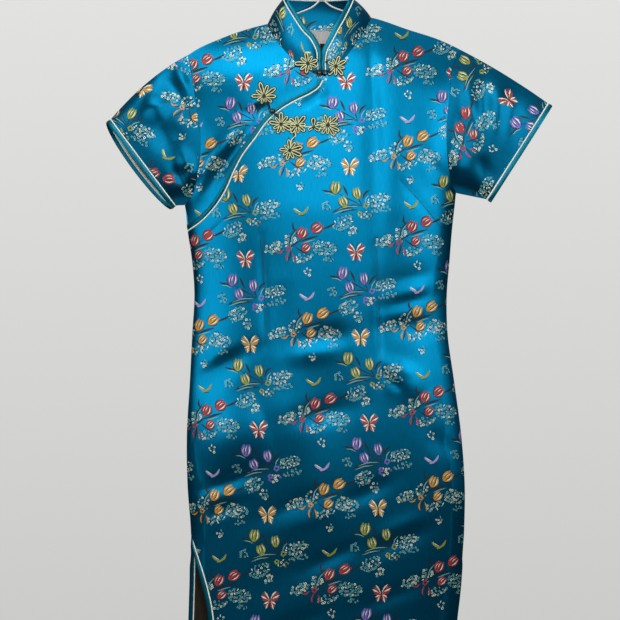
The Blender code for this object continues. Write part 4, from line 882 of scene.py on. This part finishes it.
def spray(x, y, width, height, turn, count, seed, threads):
    """A drift of blossoms and dashes round a place."""
    pick = random.Random(seed)
    shapes, placed = [], []
    t = math.radians(turn)
    while len(placed) < count:
        u, v = pick.uniform(-1, 1), pick.uniform(-1, 1)
        px = x + u * width / 2 * math.cos(t) - v * height / 2 * math.sin(t)
        py = y + u * width / 2 * math.sin(t) + v * height / 2 * math.cos(t)
        near = any(math.hypot(px - q[0], py - q[1]) < BLOSSOM_GAP for q in placed)
        if u * u + v * v > 1 or near:
            continue
        placed.append((px, py))
        thread = pick.choice(threads)
        a = pick.uniform(0, math.pi)
        step = np.array([math.cos(a), math.sin(a)]) * DASH
        if pick.random() < BLOSSOM_SHARE:
            shapes += blossom(px, py, pick.uniform(*BLOSSOM_RADII), 2 * a, thread, 0.04)
            place, dash = np.array([px, py]) + step[::-1], NAVY
        else:
            place, dash = np.array([px, py]), thread
        shapes += blade([place - step * 0.8, place, place + step * 0.8], 1.5, dash, 0.03)
    return shapes


def tulip(x, y, length, width, turn, thread):
    """A closed tulip head: pointed petals, dark gaps between them and a pale edge."""
    t = math.radians(turn)
    across = np.array([math.cos(t), math.sin(t)]) * width
    along = np.array([-math.sin(t), math.cos(t)]) * length

    def at(*places):
        return [np.array([x, y]) + across * u + along * v for u, v in places]
    shapes = []
    for side, reach in ((-1, 0.58), (1, 0.62)):
        shapes += blade(at((side * 0.12, -0.56), (side * 0.5, 0.0), (side * 0.34, reach - 0.06)),
                        width * 0.46, NAVY, 0.06)
        shapes += blade(at((side * 0.14, -0.5), (side * 0.4, 0.0), (side * 0.3, reach)),
                        width * 0.42, thread, 0.12)
    shapes += blade(at((0, -0.54), (-0.02, 0), (0.02, 0.56)), width * 0.62, thread, 0.14)
    shapes += blade(at((0.12, -0.4), (0.22, 0.0), (0.12, 0.46)), 1.2, NAVY, 0.2)
    shapes += blade(at((-0.14, -0.36), (-0.22, 0.02), (-0.1, 0.4)), 0.9, NAVY, 0.2)
    shapes += blade(at((0.3, -0.3), (0.4, 0.04), (0.3, 0.44)), 1.5, CREAM_THREAD, 0.22)
    shapes += blade(at((-0.06, -0.1), (-0.08, 0.12), (0, 0.4)), 1.1, CREAM_THREAD, 0.22)
    return shapes + blade(at((-0.34, -0.24), (-0.38, 0.0), (-0.3, 0.3)), 0.8, CREAM_THREAD, 0.22)


# Sprigs, about their own middle. Stems and leaves: three points, width. Heads: x, y, length,
# width, turn. Blossoms: x, y, radius, turn. Sprays: x, y, width, height, turn, count, seed, threads
TULIP_SPRIG = {
    "dark": [([(17, -6), (2, -4), (-9, -8)], 2.0), ([(17, -6), (-2, 6), (-17, 15)], 1.8),
             ([(17, -6), (15, 0), (12, 8)], 1.8), ([(-38, 20), (-28, 17), (-18, 13)], 3.6),
             ([(-7, 25), (-4, 18), (-1, 9)], 3.4), ([(-27, -13), (-14, -8), (4, -7)], 3.8),
             ([(-16, -15), (-4, -11), (10, -11)], 3.2), ([(19, 3), (24, 12), (31, 16)], 3.2)],
    "pale": [[(-20, -10), (-6, -6), (12, -6)], [(22, -4), (24, 4), (29, 9)],
             [(-34, 16), (-27, 15), (-20, 11)], [(-24, -15), (-12, -11), (2, -10)]],
    "heads": [(-18, 22, 16, 12, -12), (-9, 1, 14, 11, 16), (12, 12, 15, 10, 4)],
    "blossoms": [(23, -6, 4.6, 0.3), (13, -17, 4.2, 1.1)],
    "twigs": [],
    "sprays": [(42, 1, 35, 16, 14, 30, 0, [CREAM_THREAD, AQUA]),
               (44, -13, 28, 9, 6, 11, 5, [AQUA]),
               (-12, -28, 30, 20, 24, 28, 1, [AQUA, AQUA, AQUA, CREAM_THREAD]),
               (2, -42, 16, 11, 60, 9, 4, [AQUA, CREAM_THREAD]),
               (20, -20, 20, 11, 0, 10, 2, [OWN, CREAM_THREAD]),
               (-35, -3, 15, 14, 0, 9, 3, [AQUA])]}
BUD_SPRIG = {
    "dark": [([(-22, -12), (-12, -6), (-2, 0)], 2.2), ([(-22, -12), (-18, 4), (-8, 17)], 2.4),
             ([(-6, -4), (8, 0), (22, 3)], 3.4), ([(28, 12), (37, 15), (47, 19)], 3.2),
             ([(-26, -14), (-36, -18), (-46, -17)], 2.0),
             ([(-20, -14), (-22, -24), (-27, -33)], 2.2),
             ([(-14, -10), (-4, -18), (6, -24)], 2.4), ([(-10, 10), (-14, 18), (-13, 25)], 3.0)],
    "pale": [[(-19, -6), (-16, 4), (-9, 12)], [(-4, -7), (6, -4), (16, -2)]],
    "heads": [(-2, 8, 15, 12, -28), (20, 14, 16, 12, -56), (2, -13, 13, 10, -50)],
    "blossoms": [(-23, -13, 4.6, 0.5)],
    "twigs": [[(-24, -18), (-27, -25), (-26, -31)], [(-18, -20), (-16, -26), (-17, -33)],
              [(-30, -14), (-36, -18), (-41, -17)]],
    "sprays": [(-20, -2, 18, 20, 0, 15, 0, [CREAM_THREAD, AQUA]),
               (-45, -10, 28, 14, 20, 21, 1, [CREAM_THREAD, AQUA]),
               (28, -15, 34, 20, -10, 36, 2, [AQUA, AQUA, AQUA, CREAM_THREAD]),
               (-4, -27, 30, 11, 10, 16, 3, [CREAM_THREAD, AQUA]),
               (32, -32, 16, 7, 0, 6, 6, [AQUA]),
               (2, -48, 12, 11, -20, 6, 4, [CREAM_THREAD, AQUA])]}


def sprig(plan, x, y, thread, seed):
    """Three heads on forked stems, with dark leaves, pale edges and drifts of blossom."""
    def line(places):
        return [(x + px, y + py) for px, py in places]
    shapes = []
    for places, width in plan["dark"]:
        shapes += blade(line(places), width, NAVY, 0.06)
    for places in plan["pale"]:
        shapes += blade(line(places), 1.4, AQUA, 0.12)
    for px, py, length, width, turn in plan["heads"]:
        shapes += tulip(x + px, y + py, length, width, turn, thread)
    for px, py, radius, turn in plan["blossoms"]:
        shapes += blossom(x + px, y + py, radius, turn, thread, 0.1)
    for places in plan["twigs"]:
        shapes += blade(line(places), 2.2, thread, 0.1)
    for px, py, width, height, turn, count, own_seed, threads in plan["sprays"]:
        shapes += spray(x + px, y + py, width, height, turn, count, seed + own_seed,
                        [thread if k == OWN else k for k in threads])
    return shapes


def butterfly(x, y, thread):
    """A butterfly in flight: ribbed wings edged in cream, two tails and a dark body."""
    shapes = []
    for side, lean in ((-1, 0.0), (1, 1.5)):
        def at(*places):
            return [(x + side * px, y + py) for px, py in places]
        for k, (px, py) in enumerate(((7, 14.5), (9.5, 14), (11.5, 12), (12.5, 9), (11.8, 5.5),
                                      (10, 2.5))):
            ribs = at((0.6, 0.5), (px * 0.45, py * 0.42 + 0.6), (px + lean, py))
            shapes += blade(ribs, 2.7, (CREAM_THREAD, thread, thread)[k % 3], 0.1 + 0.015 * k)
        shapes += blade(at((1.5, 4), (4.5, 11), (8 + lean, 15)), 1.2, CREAM_THREAD, 0.22)
        for k, (px, py) in enumerate(((8.5, -2.5), (7.5, -6.5), (5.5, -9.5), (3.0, -8.0))):
            ribs = at((0.6, -0.5), (px * 0.5, py * 0.42), (px, py - lean))
            shapes += blade(ribs, 2.4, (CREAM_THREAD, thread)[k % 2], 0.1 + 0.015 * k)
        shapes += blade(at((2, 2.5), (5, 6), (8.5, 9)), 1.0, NAVY, 0.22)
        shapes += blade(at((0.8, 6), (2.6, 12), (5.4, 17)), 0.9, NAVY, 0.1)
    return shapes + blade([(x - 2, y - 13), (x, y - 2), (x + 1, y + 7)], 1.7, NAVY, 0.24)


def bird(x, y, thread):
    """A small bird with both wings up."""
    shapes = blade([(x - 11, y + 6), (x - 5, y + 1), (x, y - 2)], 3.4, thread, 0.1)
    shapes += blade([(x + 11, y + 8), (x + 6, y + 1), (x, y - 2)], 3.4, thread, 0.1)
    shapes += oval(x, y - 2, 3.4, 8, 10, thread, 0.12)
    shapes += blade([(x - 10, y + 7), (x - 5, y + 3), (x, y)], 1.0, CREAM_THREAD, 0.16)
    return shapes + blade([(x - 3, y - 5), (x, y - 4), (x + 6, y - 5)], 1.2, NAVY, 0.14)


def make_repeat():
    """The flat repeat, two rows of motifs, with its threads as material slots."""
    shapes = []
    for row, (tulips, buds, wings, small) in enumerate(ROW_THREADS):
        y = -row * ROW_HEIGHT
        shapes += sprig(TULIP_SPRIG, 0, y, tulips, 10 + 20 * row)
        shapes += sprig(BUD_SPRIG, 90, y - 48, buds, 20 + 20 * row)
        shapes += butterfly(3, y - 74, wings)
        shapes += bird(89, y - 10, small)
    vertices, faces, threads = [], [], []
    for outline, thread, height in shapes:
        faces.append(list(range(len(vertices), len(vertices) + len(outline))))
        vertices += [(px, py, height) for px, py in outline]
        threads.append(thread)
    item = mesh_object("repeat", vertices, faces, None, smooth=False)
    for cloth in THREAD_CLOTHS:
        item.data.materials.append(cloth)
    item.data.polygons.foreach_set("material_index", threads)
    return item


def make_pattern_nodes():
    """Nodes that repeat a flat drawing over a grid and lay it on a cloth by its UV map."""
    tree = bpy.data.node_groups.new("woven repeat", "GeometryNodeTree")
    for name, kind in (("Drawing", "Geometry"), ("Cloth", "Object"), ("Columns", "Int"),
                       ("Rows", "Int"), ("Size", "Vector"), ("Origin", "Vector"),
                       ("Turn", "Vector"), ("Lift", "Float")):
        tree.interface.new_socket(name, in_out="INPUT", socket_type="NodeSocket" + kind)
    tree.interface.new_socket("Pattern", in_out="OUTPUT", socket_type="NodeSocketGeometry")
    given = add(tree, "NodeGroupInput").outputs
    size = add(tree, "ShaderNodeSeparateXYZ", Vector=given["Size"])
    grid = add(tree, "GeometryNodeMeshGrid", Vertices_X=given["Columns"],
               Vertices_Y=given["Rows"], Size_X=size.outputs["X"], Size_Y=size.outputs["Y"])
    many = add(tree, "GeometryNodeInstanceOnPoints", Points=grid.outputs["Mesh"],
               Instance=given["Drawing"])
    real = add(tree, "GeometryNodeRealizeInstances", Geometry=many.outputs[0])
    placed = add(tree, "GeometryNodeTransform", Geometry=real.outputs[0],
                 Translation=given["Origin"], Rotation=given["Turn"])
    cloth = add(tree, "GeometryNodeObjectInfo", Object=given["Cloth"])
    uv = add(tree, "GeometryNodeInputNamedAttribute", {"data_type": "FLOAT_VECTOR"},
             Name="UVMap")
    here = add(tree, "GeometryNodeInputPosition")
    flat = add(tree, "ShaderNodeVectorMath", {"operation": "MULTIPLY"}, _0=here.outputs[0],
               _1=(1, 1, 0))
    found = []
    for source in ("GeometryNodeInputPosition", "GeometryNodeInputNormal"):
        value = add(tree, source)
        found.append(add(tree, "GeometryNodeSampleUVSurface", {"data_type": "FLOAT_VECTOR"},
                         Mesh=cloth.outputs["Geometry"], Value=value.outputs[0],
                         UV_Map=uv.outputs["Attribute"], Sample_UV=flat.outputs[0]))
    off = add(tree, "FunctionNodeBooleanMath", {"operation": "NOT"}, _0=found[0].outputs[1])
    cut = add(tree, "GeometryNodeDeleteGeometry", {"domain": "POINT"},
              Geometry=placed.outputs[0], Selection=off.outputs[0])
    layer = add(tree, "ShaderNodeSeparateXYZ", Vector=here.outputs[0])
    height = add(tree, "ShaderNodeMath", {"operation": "ADD"}, _0=layer.outputs["Z"],
                 _1=given["Lift"])
    rise = add(tree, "ShaderNodeVectorMath", {"operation": "SCALE"}, _0=found[1].outputs[0],
               Scale=height.outputs[0])
    target = add(tree, "ShaderNodeVectorMath", {"operation": "ADD"}, _0=found[0].outputs[0],
                 _1=rise.outputs[0])
    laid_on = add(tree, "GeometryNodeSetPosition", Geometry=cut.outputs[0],
                  Position=target.outputs[0])
    result = add(tree, "NodeGroupOutput")
    tree.links.new(laid_on.outputs[0], result.inputs[0])
    return tree


PATTERN_NODES = make_pattern_nodes()
repeat = make_repeat()
# Panels: columns, rows, the middle of the grid on the cloth in millimetres, turn in degrees
LAYOUTS = [("front", front_cloth, 5, 6, (-109, -506), 3.5),
           ("underlap", underlap_cloth, 5, 6, (-97, -497), 3.5),
           ("back", back_cloth, 5, 6, (-70, -540), 0.0),
           ("sleeve_left", sleeve_cloths["left"], 4, 3, (-152, 271), 18.0),
           ("sleeve_right", sleeve_cloths["right"], 4, 3, (61, 128), -4.0),
           ("collar", collar_cloth, 4, 2, (186, 156), 0.0),
           ("collar_inside", collar_cloth, 4, 2, (INNER_SHIFT + 213, -124), 0.0)]
# The lowest thread lies this far off the satin, in metres
PATTERN_LIFT = 0.00022
for name, cloth, columns, rows, middle, turn in LAYOUTS:
    pattern = bpy.data.objects.new("pattern_" + name, repeat.data.copy())
    bpy.context.scene.collection.objects.link(pattern)
    size = ((columns - 1) * REPEAT_WIDTH * MM, (rows - 1) * 2 * ROW_HEIGHT * MM, 0.0)
    realized(pattern, PATTERN_NODES, Cloth=cloth, Columns=columns, Rows=rows, Size=size,
             Origin=(middle[0] * MM, middle[1] * MM, 0.0), Turn=(0.0, 0.0, math.radians(turn)),
             Lift=PATTERN_LIFT)
    declare(pattern, "satin_brocade")
bpy.data.objects.remove(repeat)

# Darts: wedges of the satin folded and sewn inside, two at the bust, two at the front waist and
# two at the back waist. Each is drawn as a fine dark cord on the satin: painted shade of the crease
# where the satin closes over the seam.
DARTS = {
    "front": [[(112.4, -340.3), (146, -377), (176.9, -415)],
              [(-145, -399), (-166, -419), (-182.7, -441)],
              [(-89.9, -420.8), (-84.1, -459.9), (-82.7, -539.7), (-81.8, -580.3)],
              [(76.9, -432.4), (81.2, -473), (82.7, -513.6), (83.4, -636.8)]],
    "back": [[(-84, -400), (-80, -500), (-82, -640)], [(84, -400), (80, -500), (82, -640)]]}
DART_LINE, DART_LIFT = 0.45, 0.05
# The dark cord over each dart: painted shade of its crease
DART_SHADE_CORD = cloth_material("dart crease painted shade", "023244", "04445c", 0.6, 0.0, 700, 0.1)
for side, darts in DARTS.items():
    lines = []
    for dart in darts:
        points, out = face(side, even_path(dart, 60))
        lines.append(points + out * DART_LIFT)
    seam = cord("darts_" + side, lines, DART_LINE, DART_SHADE_CORD, sides=5)
    declare(seam, "satin_brocade")

# Frogs: rosettes of looped cord, a gold one inside a teal one, sewn on flat, with knot buttons.
# Both cords are narrow bias tubes: the gold shines like silk, the teal is nearly black and matt.
TEAL_CORD, GOLD_CORD = 0.95, 0.78
FROG_TEAL = cloth_material("teal frog cord", "01161c", "02262e", 0.5, 0.1, 900, 0.2)
FROG_GOLD = cloth_material("gold frog cord", "d2d486", "f2f2c0", 0.42, 0.2, 900, 0.2)
# Name, x, z, radius, turn, petals, panel, lift, way that the petals grow longer, by how much
ROSETTES = [("frog_neck_left", -20.5, -174.0, 13.5, 20, 9, "underlap", 1.8, 150, 0.15),
            ("frog_neck_right", 19.5, -178.0, 13.0, 70, 9, "front", 1.4, -20, 0.15),
            ("frog_chest_upper", -83.4, -220.5, 14.5, 35, 10, "underlap", 0.5, 90, 0.3),
            ("frog_chest_a", -59.0, -261.0, 14.5, 10, 9, "front", 0.5, 60, 0.1),
            ("frog_chest_b", -35.5, -262.5, 13.0, 50, 8, "front", 0.5, 60, 0.1),
            ("frog_chest_c", -12.5, -265.0, 10.0, 90, 3, "front", 0.5, 90, 0.1),
            ("frog_chest_d", 8.0, -262.5, 14.5, 40, 11, "front", 0.5, 0, 0.1),
            ("frog_chest_e", -46.5, -298.5, 14.0, 15, 9, "front", 0.5, 0, 0.15)]
PETAL_REACH = [1.16, 0.88, 1.08, 0.8, 1.2, 0.92, 1.04, 0.84, 1.12]
# A petal starts this share of its length from the heart, and swells to its tip by this power
PETAL_HEART, PETAL_TIP, PETAL_POWER, PETAL_POINTS = 0.14, 0.86, 0.85, 19
# Petals fill this share of their circle; where they are few, each has this spread in radians
PETAL_SHARE, FEW_PETALS, FEW_SPREAD = 0.92, 4, 0.5
# The cords of each petal: share of its spread, how far they reach, how high they lie
TEAL_LOOPS, GOLD_LOOPS = [(1.0, 1.06, 0.75), (0.2, 0.86, 1.3)], [(0.7, 1.0, 1.25)]


def petal(row, k, spread, reach, lift):
    """A teardrop loop of cord from a rosette's heart."""
    _, x, z, radius, turn, petals, panel, base, fan, stretch = row
    t = np.linspace(0, 1, PETAL_POINTS)
    heading = math.radians(turn) + 2 * math.pi * k / petals
    reach *= PETAL_REACH[k % 9] * (1 + stretch * math.cos(heading - math.radians(fan)))
    length = radius * reach * (PETAL_HEART + PETAL_TIP * np.sin(math.pi * t) ** PETAL_POWER)
    angle = heading + spread * np.cos(math.pi * t)
    return laid(panel, np.stack([x + length * np.cos(angle), z + length * np.sin(angle)], 1),
                base + lift)


def frog_piece(name, teal_lines, gold_lines):
    """One piece of a frog: its teal and gold cords as one mesh."""
    parts = []
    if teal_lines:
        parts.append(cord(name + "_teal", teal_lines, TEAL_CORD, FROG_TEAL, sides=6))
    if gold_lines:
        parts.append(cord(name + "_gold", gold_lines, GOLD_CORD, FROG_GOLD, sides=6))
    with bpy.context.temp_override(active_object=parts[0], selected_editable_objects=parts,
                                   object=parts[0], selected_objects=parts):
        bpy.ops.object.join()
    parts[0].name = name + "_cords"
    declare(parts[0], "frog_cord", name)


# The heart of a rosette is a coil: turns, and growth in millimetres a radian
COIL_TURNS, COIL_PITCH = 2.2, 0.17
STEMS = {"frog_chest_b": [[(-55, -262), (-44, -258), (-33, -262), (-20, -265), (-12, -264)]],
         "frog_chest_c": [[(-12, -264), (-4, -262), (6, -261)]],
         "frog_chest_e": [[(-39.5, -270), (-38, -277), (-44, -284), (-45, -292)]]}
for row in ROSETTES:
    name, x, z, _, _, petals, panel, base = row[:8]
    spread = PETAL_SHARE * math.pi / petals if petals > FEW_PETALS else FEW_SPREAD
    teal, gold = ([petal(row, k, spread * share, reach, lift)
                   for share, reach, lift in loops for k in range(petals)]
                  for loops in (TEAL_LOOPS, GOLD_LOOPS))
    gold += [laid(panel, even_path(places, 16), base + 1.6) for places in STEMS.get(name, [])]
    a = np.linspace(0, COIL_TURNS * 2 * math.pi, 40)
    coil = np.stack([x + a * COIL_PITCH * np.cos(a), z + a * COIL_PITCH * np.sin(a)], 1)
    teal.append(laid(panel, coil, base + 1.5))
    frog_piece(name, teal, gold)
# Links: name, places, panel, lift. Each is two cords side by side
LINK_HALF = 0.9
LINKS = [("frog_loop_upper", [(-80, -228), (-77, -234), (-75.5, -239)], "underlap", 1.6),
         ("frog_loop_lower", [(-68, -246), (-65, -248), (-62, -253)], "front", 1.5),
         ("frog_link_e", [(-39.5, -274), (-40, -279), (-42, -284)], "front", 1.0)]
for name, places, panel, lift in LINKS:
    lines = [laid(panel, even_path(places, 12) + (shift, shift * 0.5), lift)
             for shift in (-LINK_HALF, LINK_HALF)]
    frog_piece(name, lines, [])


KNOT_RADIUS, KNOT_LOOP, KNOT_TILTS, KNOT_CORE = 4.2, 3.3, (0.2, 1.25, 2.3), 0.55


def knot(name, x, z, lift, bar_lines):
    """A ball button knotted from cord: three loops round a small core."""
    centre = laid("front", np.array([[x, z]]), lift + KNOT_RADIUS)[0]
    a = np.linspace(0, 2 * math.pi, 25)
    loops = []
    for tilt in KNOT_TILTS:
        ring = KNOT_LOOP * np.stack([np.cos(a), np.sin(a) * math.sin(tilt),
                                     np.sin(a) * math.cos(tilt)], 1)
        loops.append(centre + ring)
    frog_piece(name, loops + bar_lines, [centre + ring * KNOT_CORE])


# The neck button's bar: two cords side by side, over the gap of the collar
BAR, BAR_LIFT = np.array([(-14, -186), (-2, -184.5), (12, -186)]), 4.6
neck_bar = [laid("front", even_path(BAR + (0, shift), 16), BAR_LIFT) for shift in (-1.2, 1.0)]
knot("knot_neck", -4.0, -188.0, 0.5, neck_bar)
knot("knot_chest", -71.0, -242.6, 0.7, [])

# Label: a bare white ribbon, and a small tab of the same below it. Both are matt polyester,
# sewn to the lining inside the back of the neck.
LABEL = cloth_material("white ribbon", "eeede8", "fafaf6", 0.6, 0.0, 700, 0.2)
LABEL_CLOTH = 0.4
# Name, left and right x, lower and upper z, how far inside the back's outer face
RIBBONS = [("label", -24.6, 16.0, -139.5, -121.2, 3.0),
           ("label_tab", -11.6, -3.0, -148.0, -138.5, 3.5)]
for name, x0, x1, z0, z1, depth in RIBBONS:
    flat = np.stack(np.meshgrid(np.linspace(x0, x1, 12), np.linspace(z0, z1, 6)), -1)
    points, out = face("back", flat)
    ribbon = wall(name + "_ribbon", points, out, depth, LABEL_CLOTH, LABEL)
    declare(ribbon, "label_ribbon", name)

# Hanger: one steel wire, bent from the hook's tip round the loop and back to the shank, with a
# thin pale plastic coat that shines softly and hides the metal.
WIRE = bpy.data.materials.new("coated wire")
WIRE.use_nodes = True
wire_shader = WIRE.node_tree.nodes["Principled BSDF"]
wire_shader.inputs["Base Color"].default_value = linear("c9c9c5")
wire_shader.inputs["Roughness"].default_value = 0.35
wire_shader.inputs["Metallic"].default_value = 0.2
HOOK_RADIUS, WIRE_RADIUS, HOOK_FROM, HOOK_TO = 19.0, 1.4, 200, -48
LOOP = [
    (6, -45), (0.4, -55), (0, -66), (0, -75), (7, -83), (40, -98), (60, -107.5), (76, -116),
    (112, -128), (150, -141), (170, -150), (179, -158), (180, -167), (172, -174.5),
    (120, -177.5), (0, -178.5), (-120, -179.5), (-170, -180.5), (-177.5, -176.5), (-178, -168),
    (-170, -159), (-150, -147.5), (-112, -133), (-80, -123), (-60, -111.5), (-40, -100),
    (-10, -85.5), (-4.4, -79.5), (-3.5, -70), (-3.5, -62)]
bend = HOOK_RADIUS + WIRE_RADIUS
angles = np.radians(np.linspace(HOOK_FROM, HOOK_TO, 15))
hook = np.stack([bend * np.cos(angles), -HOOK_RADIUS + bend * np.sin(angles)], 1)
wire_line = even_path(np.concatenate([hook, np.array(LOOP, float)]), 420)
wire_line = np.stack([wire_line[:, 0], np.zeros(len(wire_line)), wire_line[:, 1]], 1)
hanger = cord("wire_hanger", [wire_line], WIRE_RADIUS, WIRE, sides=16)
declare(hanger, "hanger_wire", "hanger")

# Room: a pale floor far below, soft lights, the camera of the photo and a pale world that lights
# the satin from above: bright overhead, dim below, and behind a wall grey that is painted darker
# towards the bottom as shade.
# The world's light by height, from straight below at 0 to straight above at 1
WORLD_LIGHT = [(0.02, 0.06), (0.35, 0.06), (0.45, 0.07), (0.5, 0.14), (0.56, 0.4), (0.9, 0.75)]
# It dims towards both sides: two places across, and its share there
SIDE_PLACES, SIDE_SHARES = (0.25, 0.8), (1.0, 0.4)
# The wall that the camera sees: two heights, and its grey there, painted darker at the lower one as
# shade
WALL_HEIGHTS, WALL_SHADED_GREYS, WALL_TINT = (-0.1, 0.1), (0.6, 0.76), (1.0, 1.0, 0.98)
world = bpy.data.worlds.new("pale room")
bpy.context.scene.world = world
world.use_nodes = True
sky = world.node_tree
sky_place = add(sky, "ShaderNodeTexCoord")
way = add(sky, "ShaderNodeSeparateXYZ", Vector=sky_place.outputs["Generated"])
height = add(sky, "ShaderNodeMapRange", _0=way.outputs["Z"], _1=-1.0, _2=1.0)
glow = add(sky, "ShaderNodeValToRGB", Fac=height.outputs[0])
for spot, shade in WORLD_LIGHT:
    point = glow.color_ramp.elements.new(spot)
    point.color = (shade, shade, shade, 1)
glow.color_ramp.elements.remove(glow.color_ramp.elements[0])
glow.color_ramp.elements.remove(glow.color_ramp.elements[-1])
aside = add(sky, "ShaderNodeMath", {"operation": "ABSOLUTE"}, _0=way.outputs["X"])
dimmer = add(sky, "ShaderNodeMapRange", _0=aside.outputs[0], _1=SIDE_PLACES[0],
             _2=SIDE_PLACES[1], _3=SIDE_SHARES[0], _4=SIDE_SHARES[1])
dimmed = add(sky, "ShaderNodeVectorMath", {"operation": "SCALE"}, _0=glow.outputs["Color"],
             Scale=dimmer.outputs[0])
wall_height = add(sky, "ShaderNodeMapRange", _0=way.outputs["Z"], _1=WALL_HEIGHTS[0],
                  _2=WALL_HEIGHTS[1], _3=WALL_SHADED_GREYS[0], _4=WALL_SHADED_GREYS[1])
wall_grey = add(sky, "ShaderNodeVectorMath", {"operation": "SCALE"}, _0=WALL_TINT,
                Scale=wall_height.outputs[0])
seen = add(sky, "ShaderNodeMix", {"data_type": "RGBA"},
           _0=add(sky, "ShaderNodeLightPath").outputs["Is Camera Ray"],
           _6=dimmed.outputs[0], _7=wall_grey.outputs[0])
sky.links.new(seen.outputs[2], sky.nodes["Background"].inputs["Color"])
bpy.context.scene.view_settings.view_transform = "Standard"
FLOOR_HALF, FLOOR_Z = 1.5, -1.9
floor_mesh = bpy.data.meshes.new("floor")
floor_mesh.from_pydata([(FLOOR_HALF * x, FLOOR_HALF * y, FLOOR_Z)
                        for x, y in ((-1, -1), (1, -1), (1, 1), (-1, 1))], [], [(0, 1, 2, 3)])
floor = bpy.data.objects.new("floor", floor_mesh)
bpy.context.scene.collection.objects.link(floor)
# Lights in metres and watts: name, place, what they face, power, width, height
LIGHTS = [("front softbox", (0.03, -1.3, 0.09), (0.03, 0, 0.09), 6.8, 0.78, 1.24),
          ("left strip", (-1.05, -0.95, -0.42), (-0.2, 0, -0.45), 3.1, 0.8, 0.6),
          ("right strip", (0.92, -1.0, -0.25), (0.15, 0, -0.35), 3.2, 0.55, 0.6),
          ("key", (-0.9, -1.9, 1.5), (0, 0, -0.5), 20, 1.5, 1.5),
          ("back softbox", (0.1, 1.3, 0.2), (0.1, 0, 0.2), 9, 1.8, 1.4)]
for name, place, aim, power, width, height in LIGHTS:
    lamp = bpy.data.lights.new(name, "AREA")
    lamp.shape = "RECTANGLE"
    lamp.energy, lamp.size, lamp.size_y = power, width, height
    light = bpy.data.objects.new(name, lamp)
    light.location = place
    light.rotation_euler = (Vector(aim) - Vector(place)).to_track_quat("-Z", "Y").to_euler()
    bpy.context.scene.collection.objects.link(light)
# The camera looks level at the dress from 4.5 m, and its lens shows 1.45 mm in each photo pixel
CAMERA_PLACE, CAMERA_LENS = (-0.0174, -4.5, -0.528), 180.2
camera_data = bpy.data.cameras.new("camera")
camera_data.lens = CAMERA_LENS
camera = bpy.data.objects.new("camera", camera_data)
camera.location = CAMERA_PLACE
camera.rotation_euler = (math.pi / 2, 0, 0)
bpy.context.scene.collection.objects.link(camera)
bpy.context.scene.camera = camera
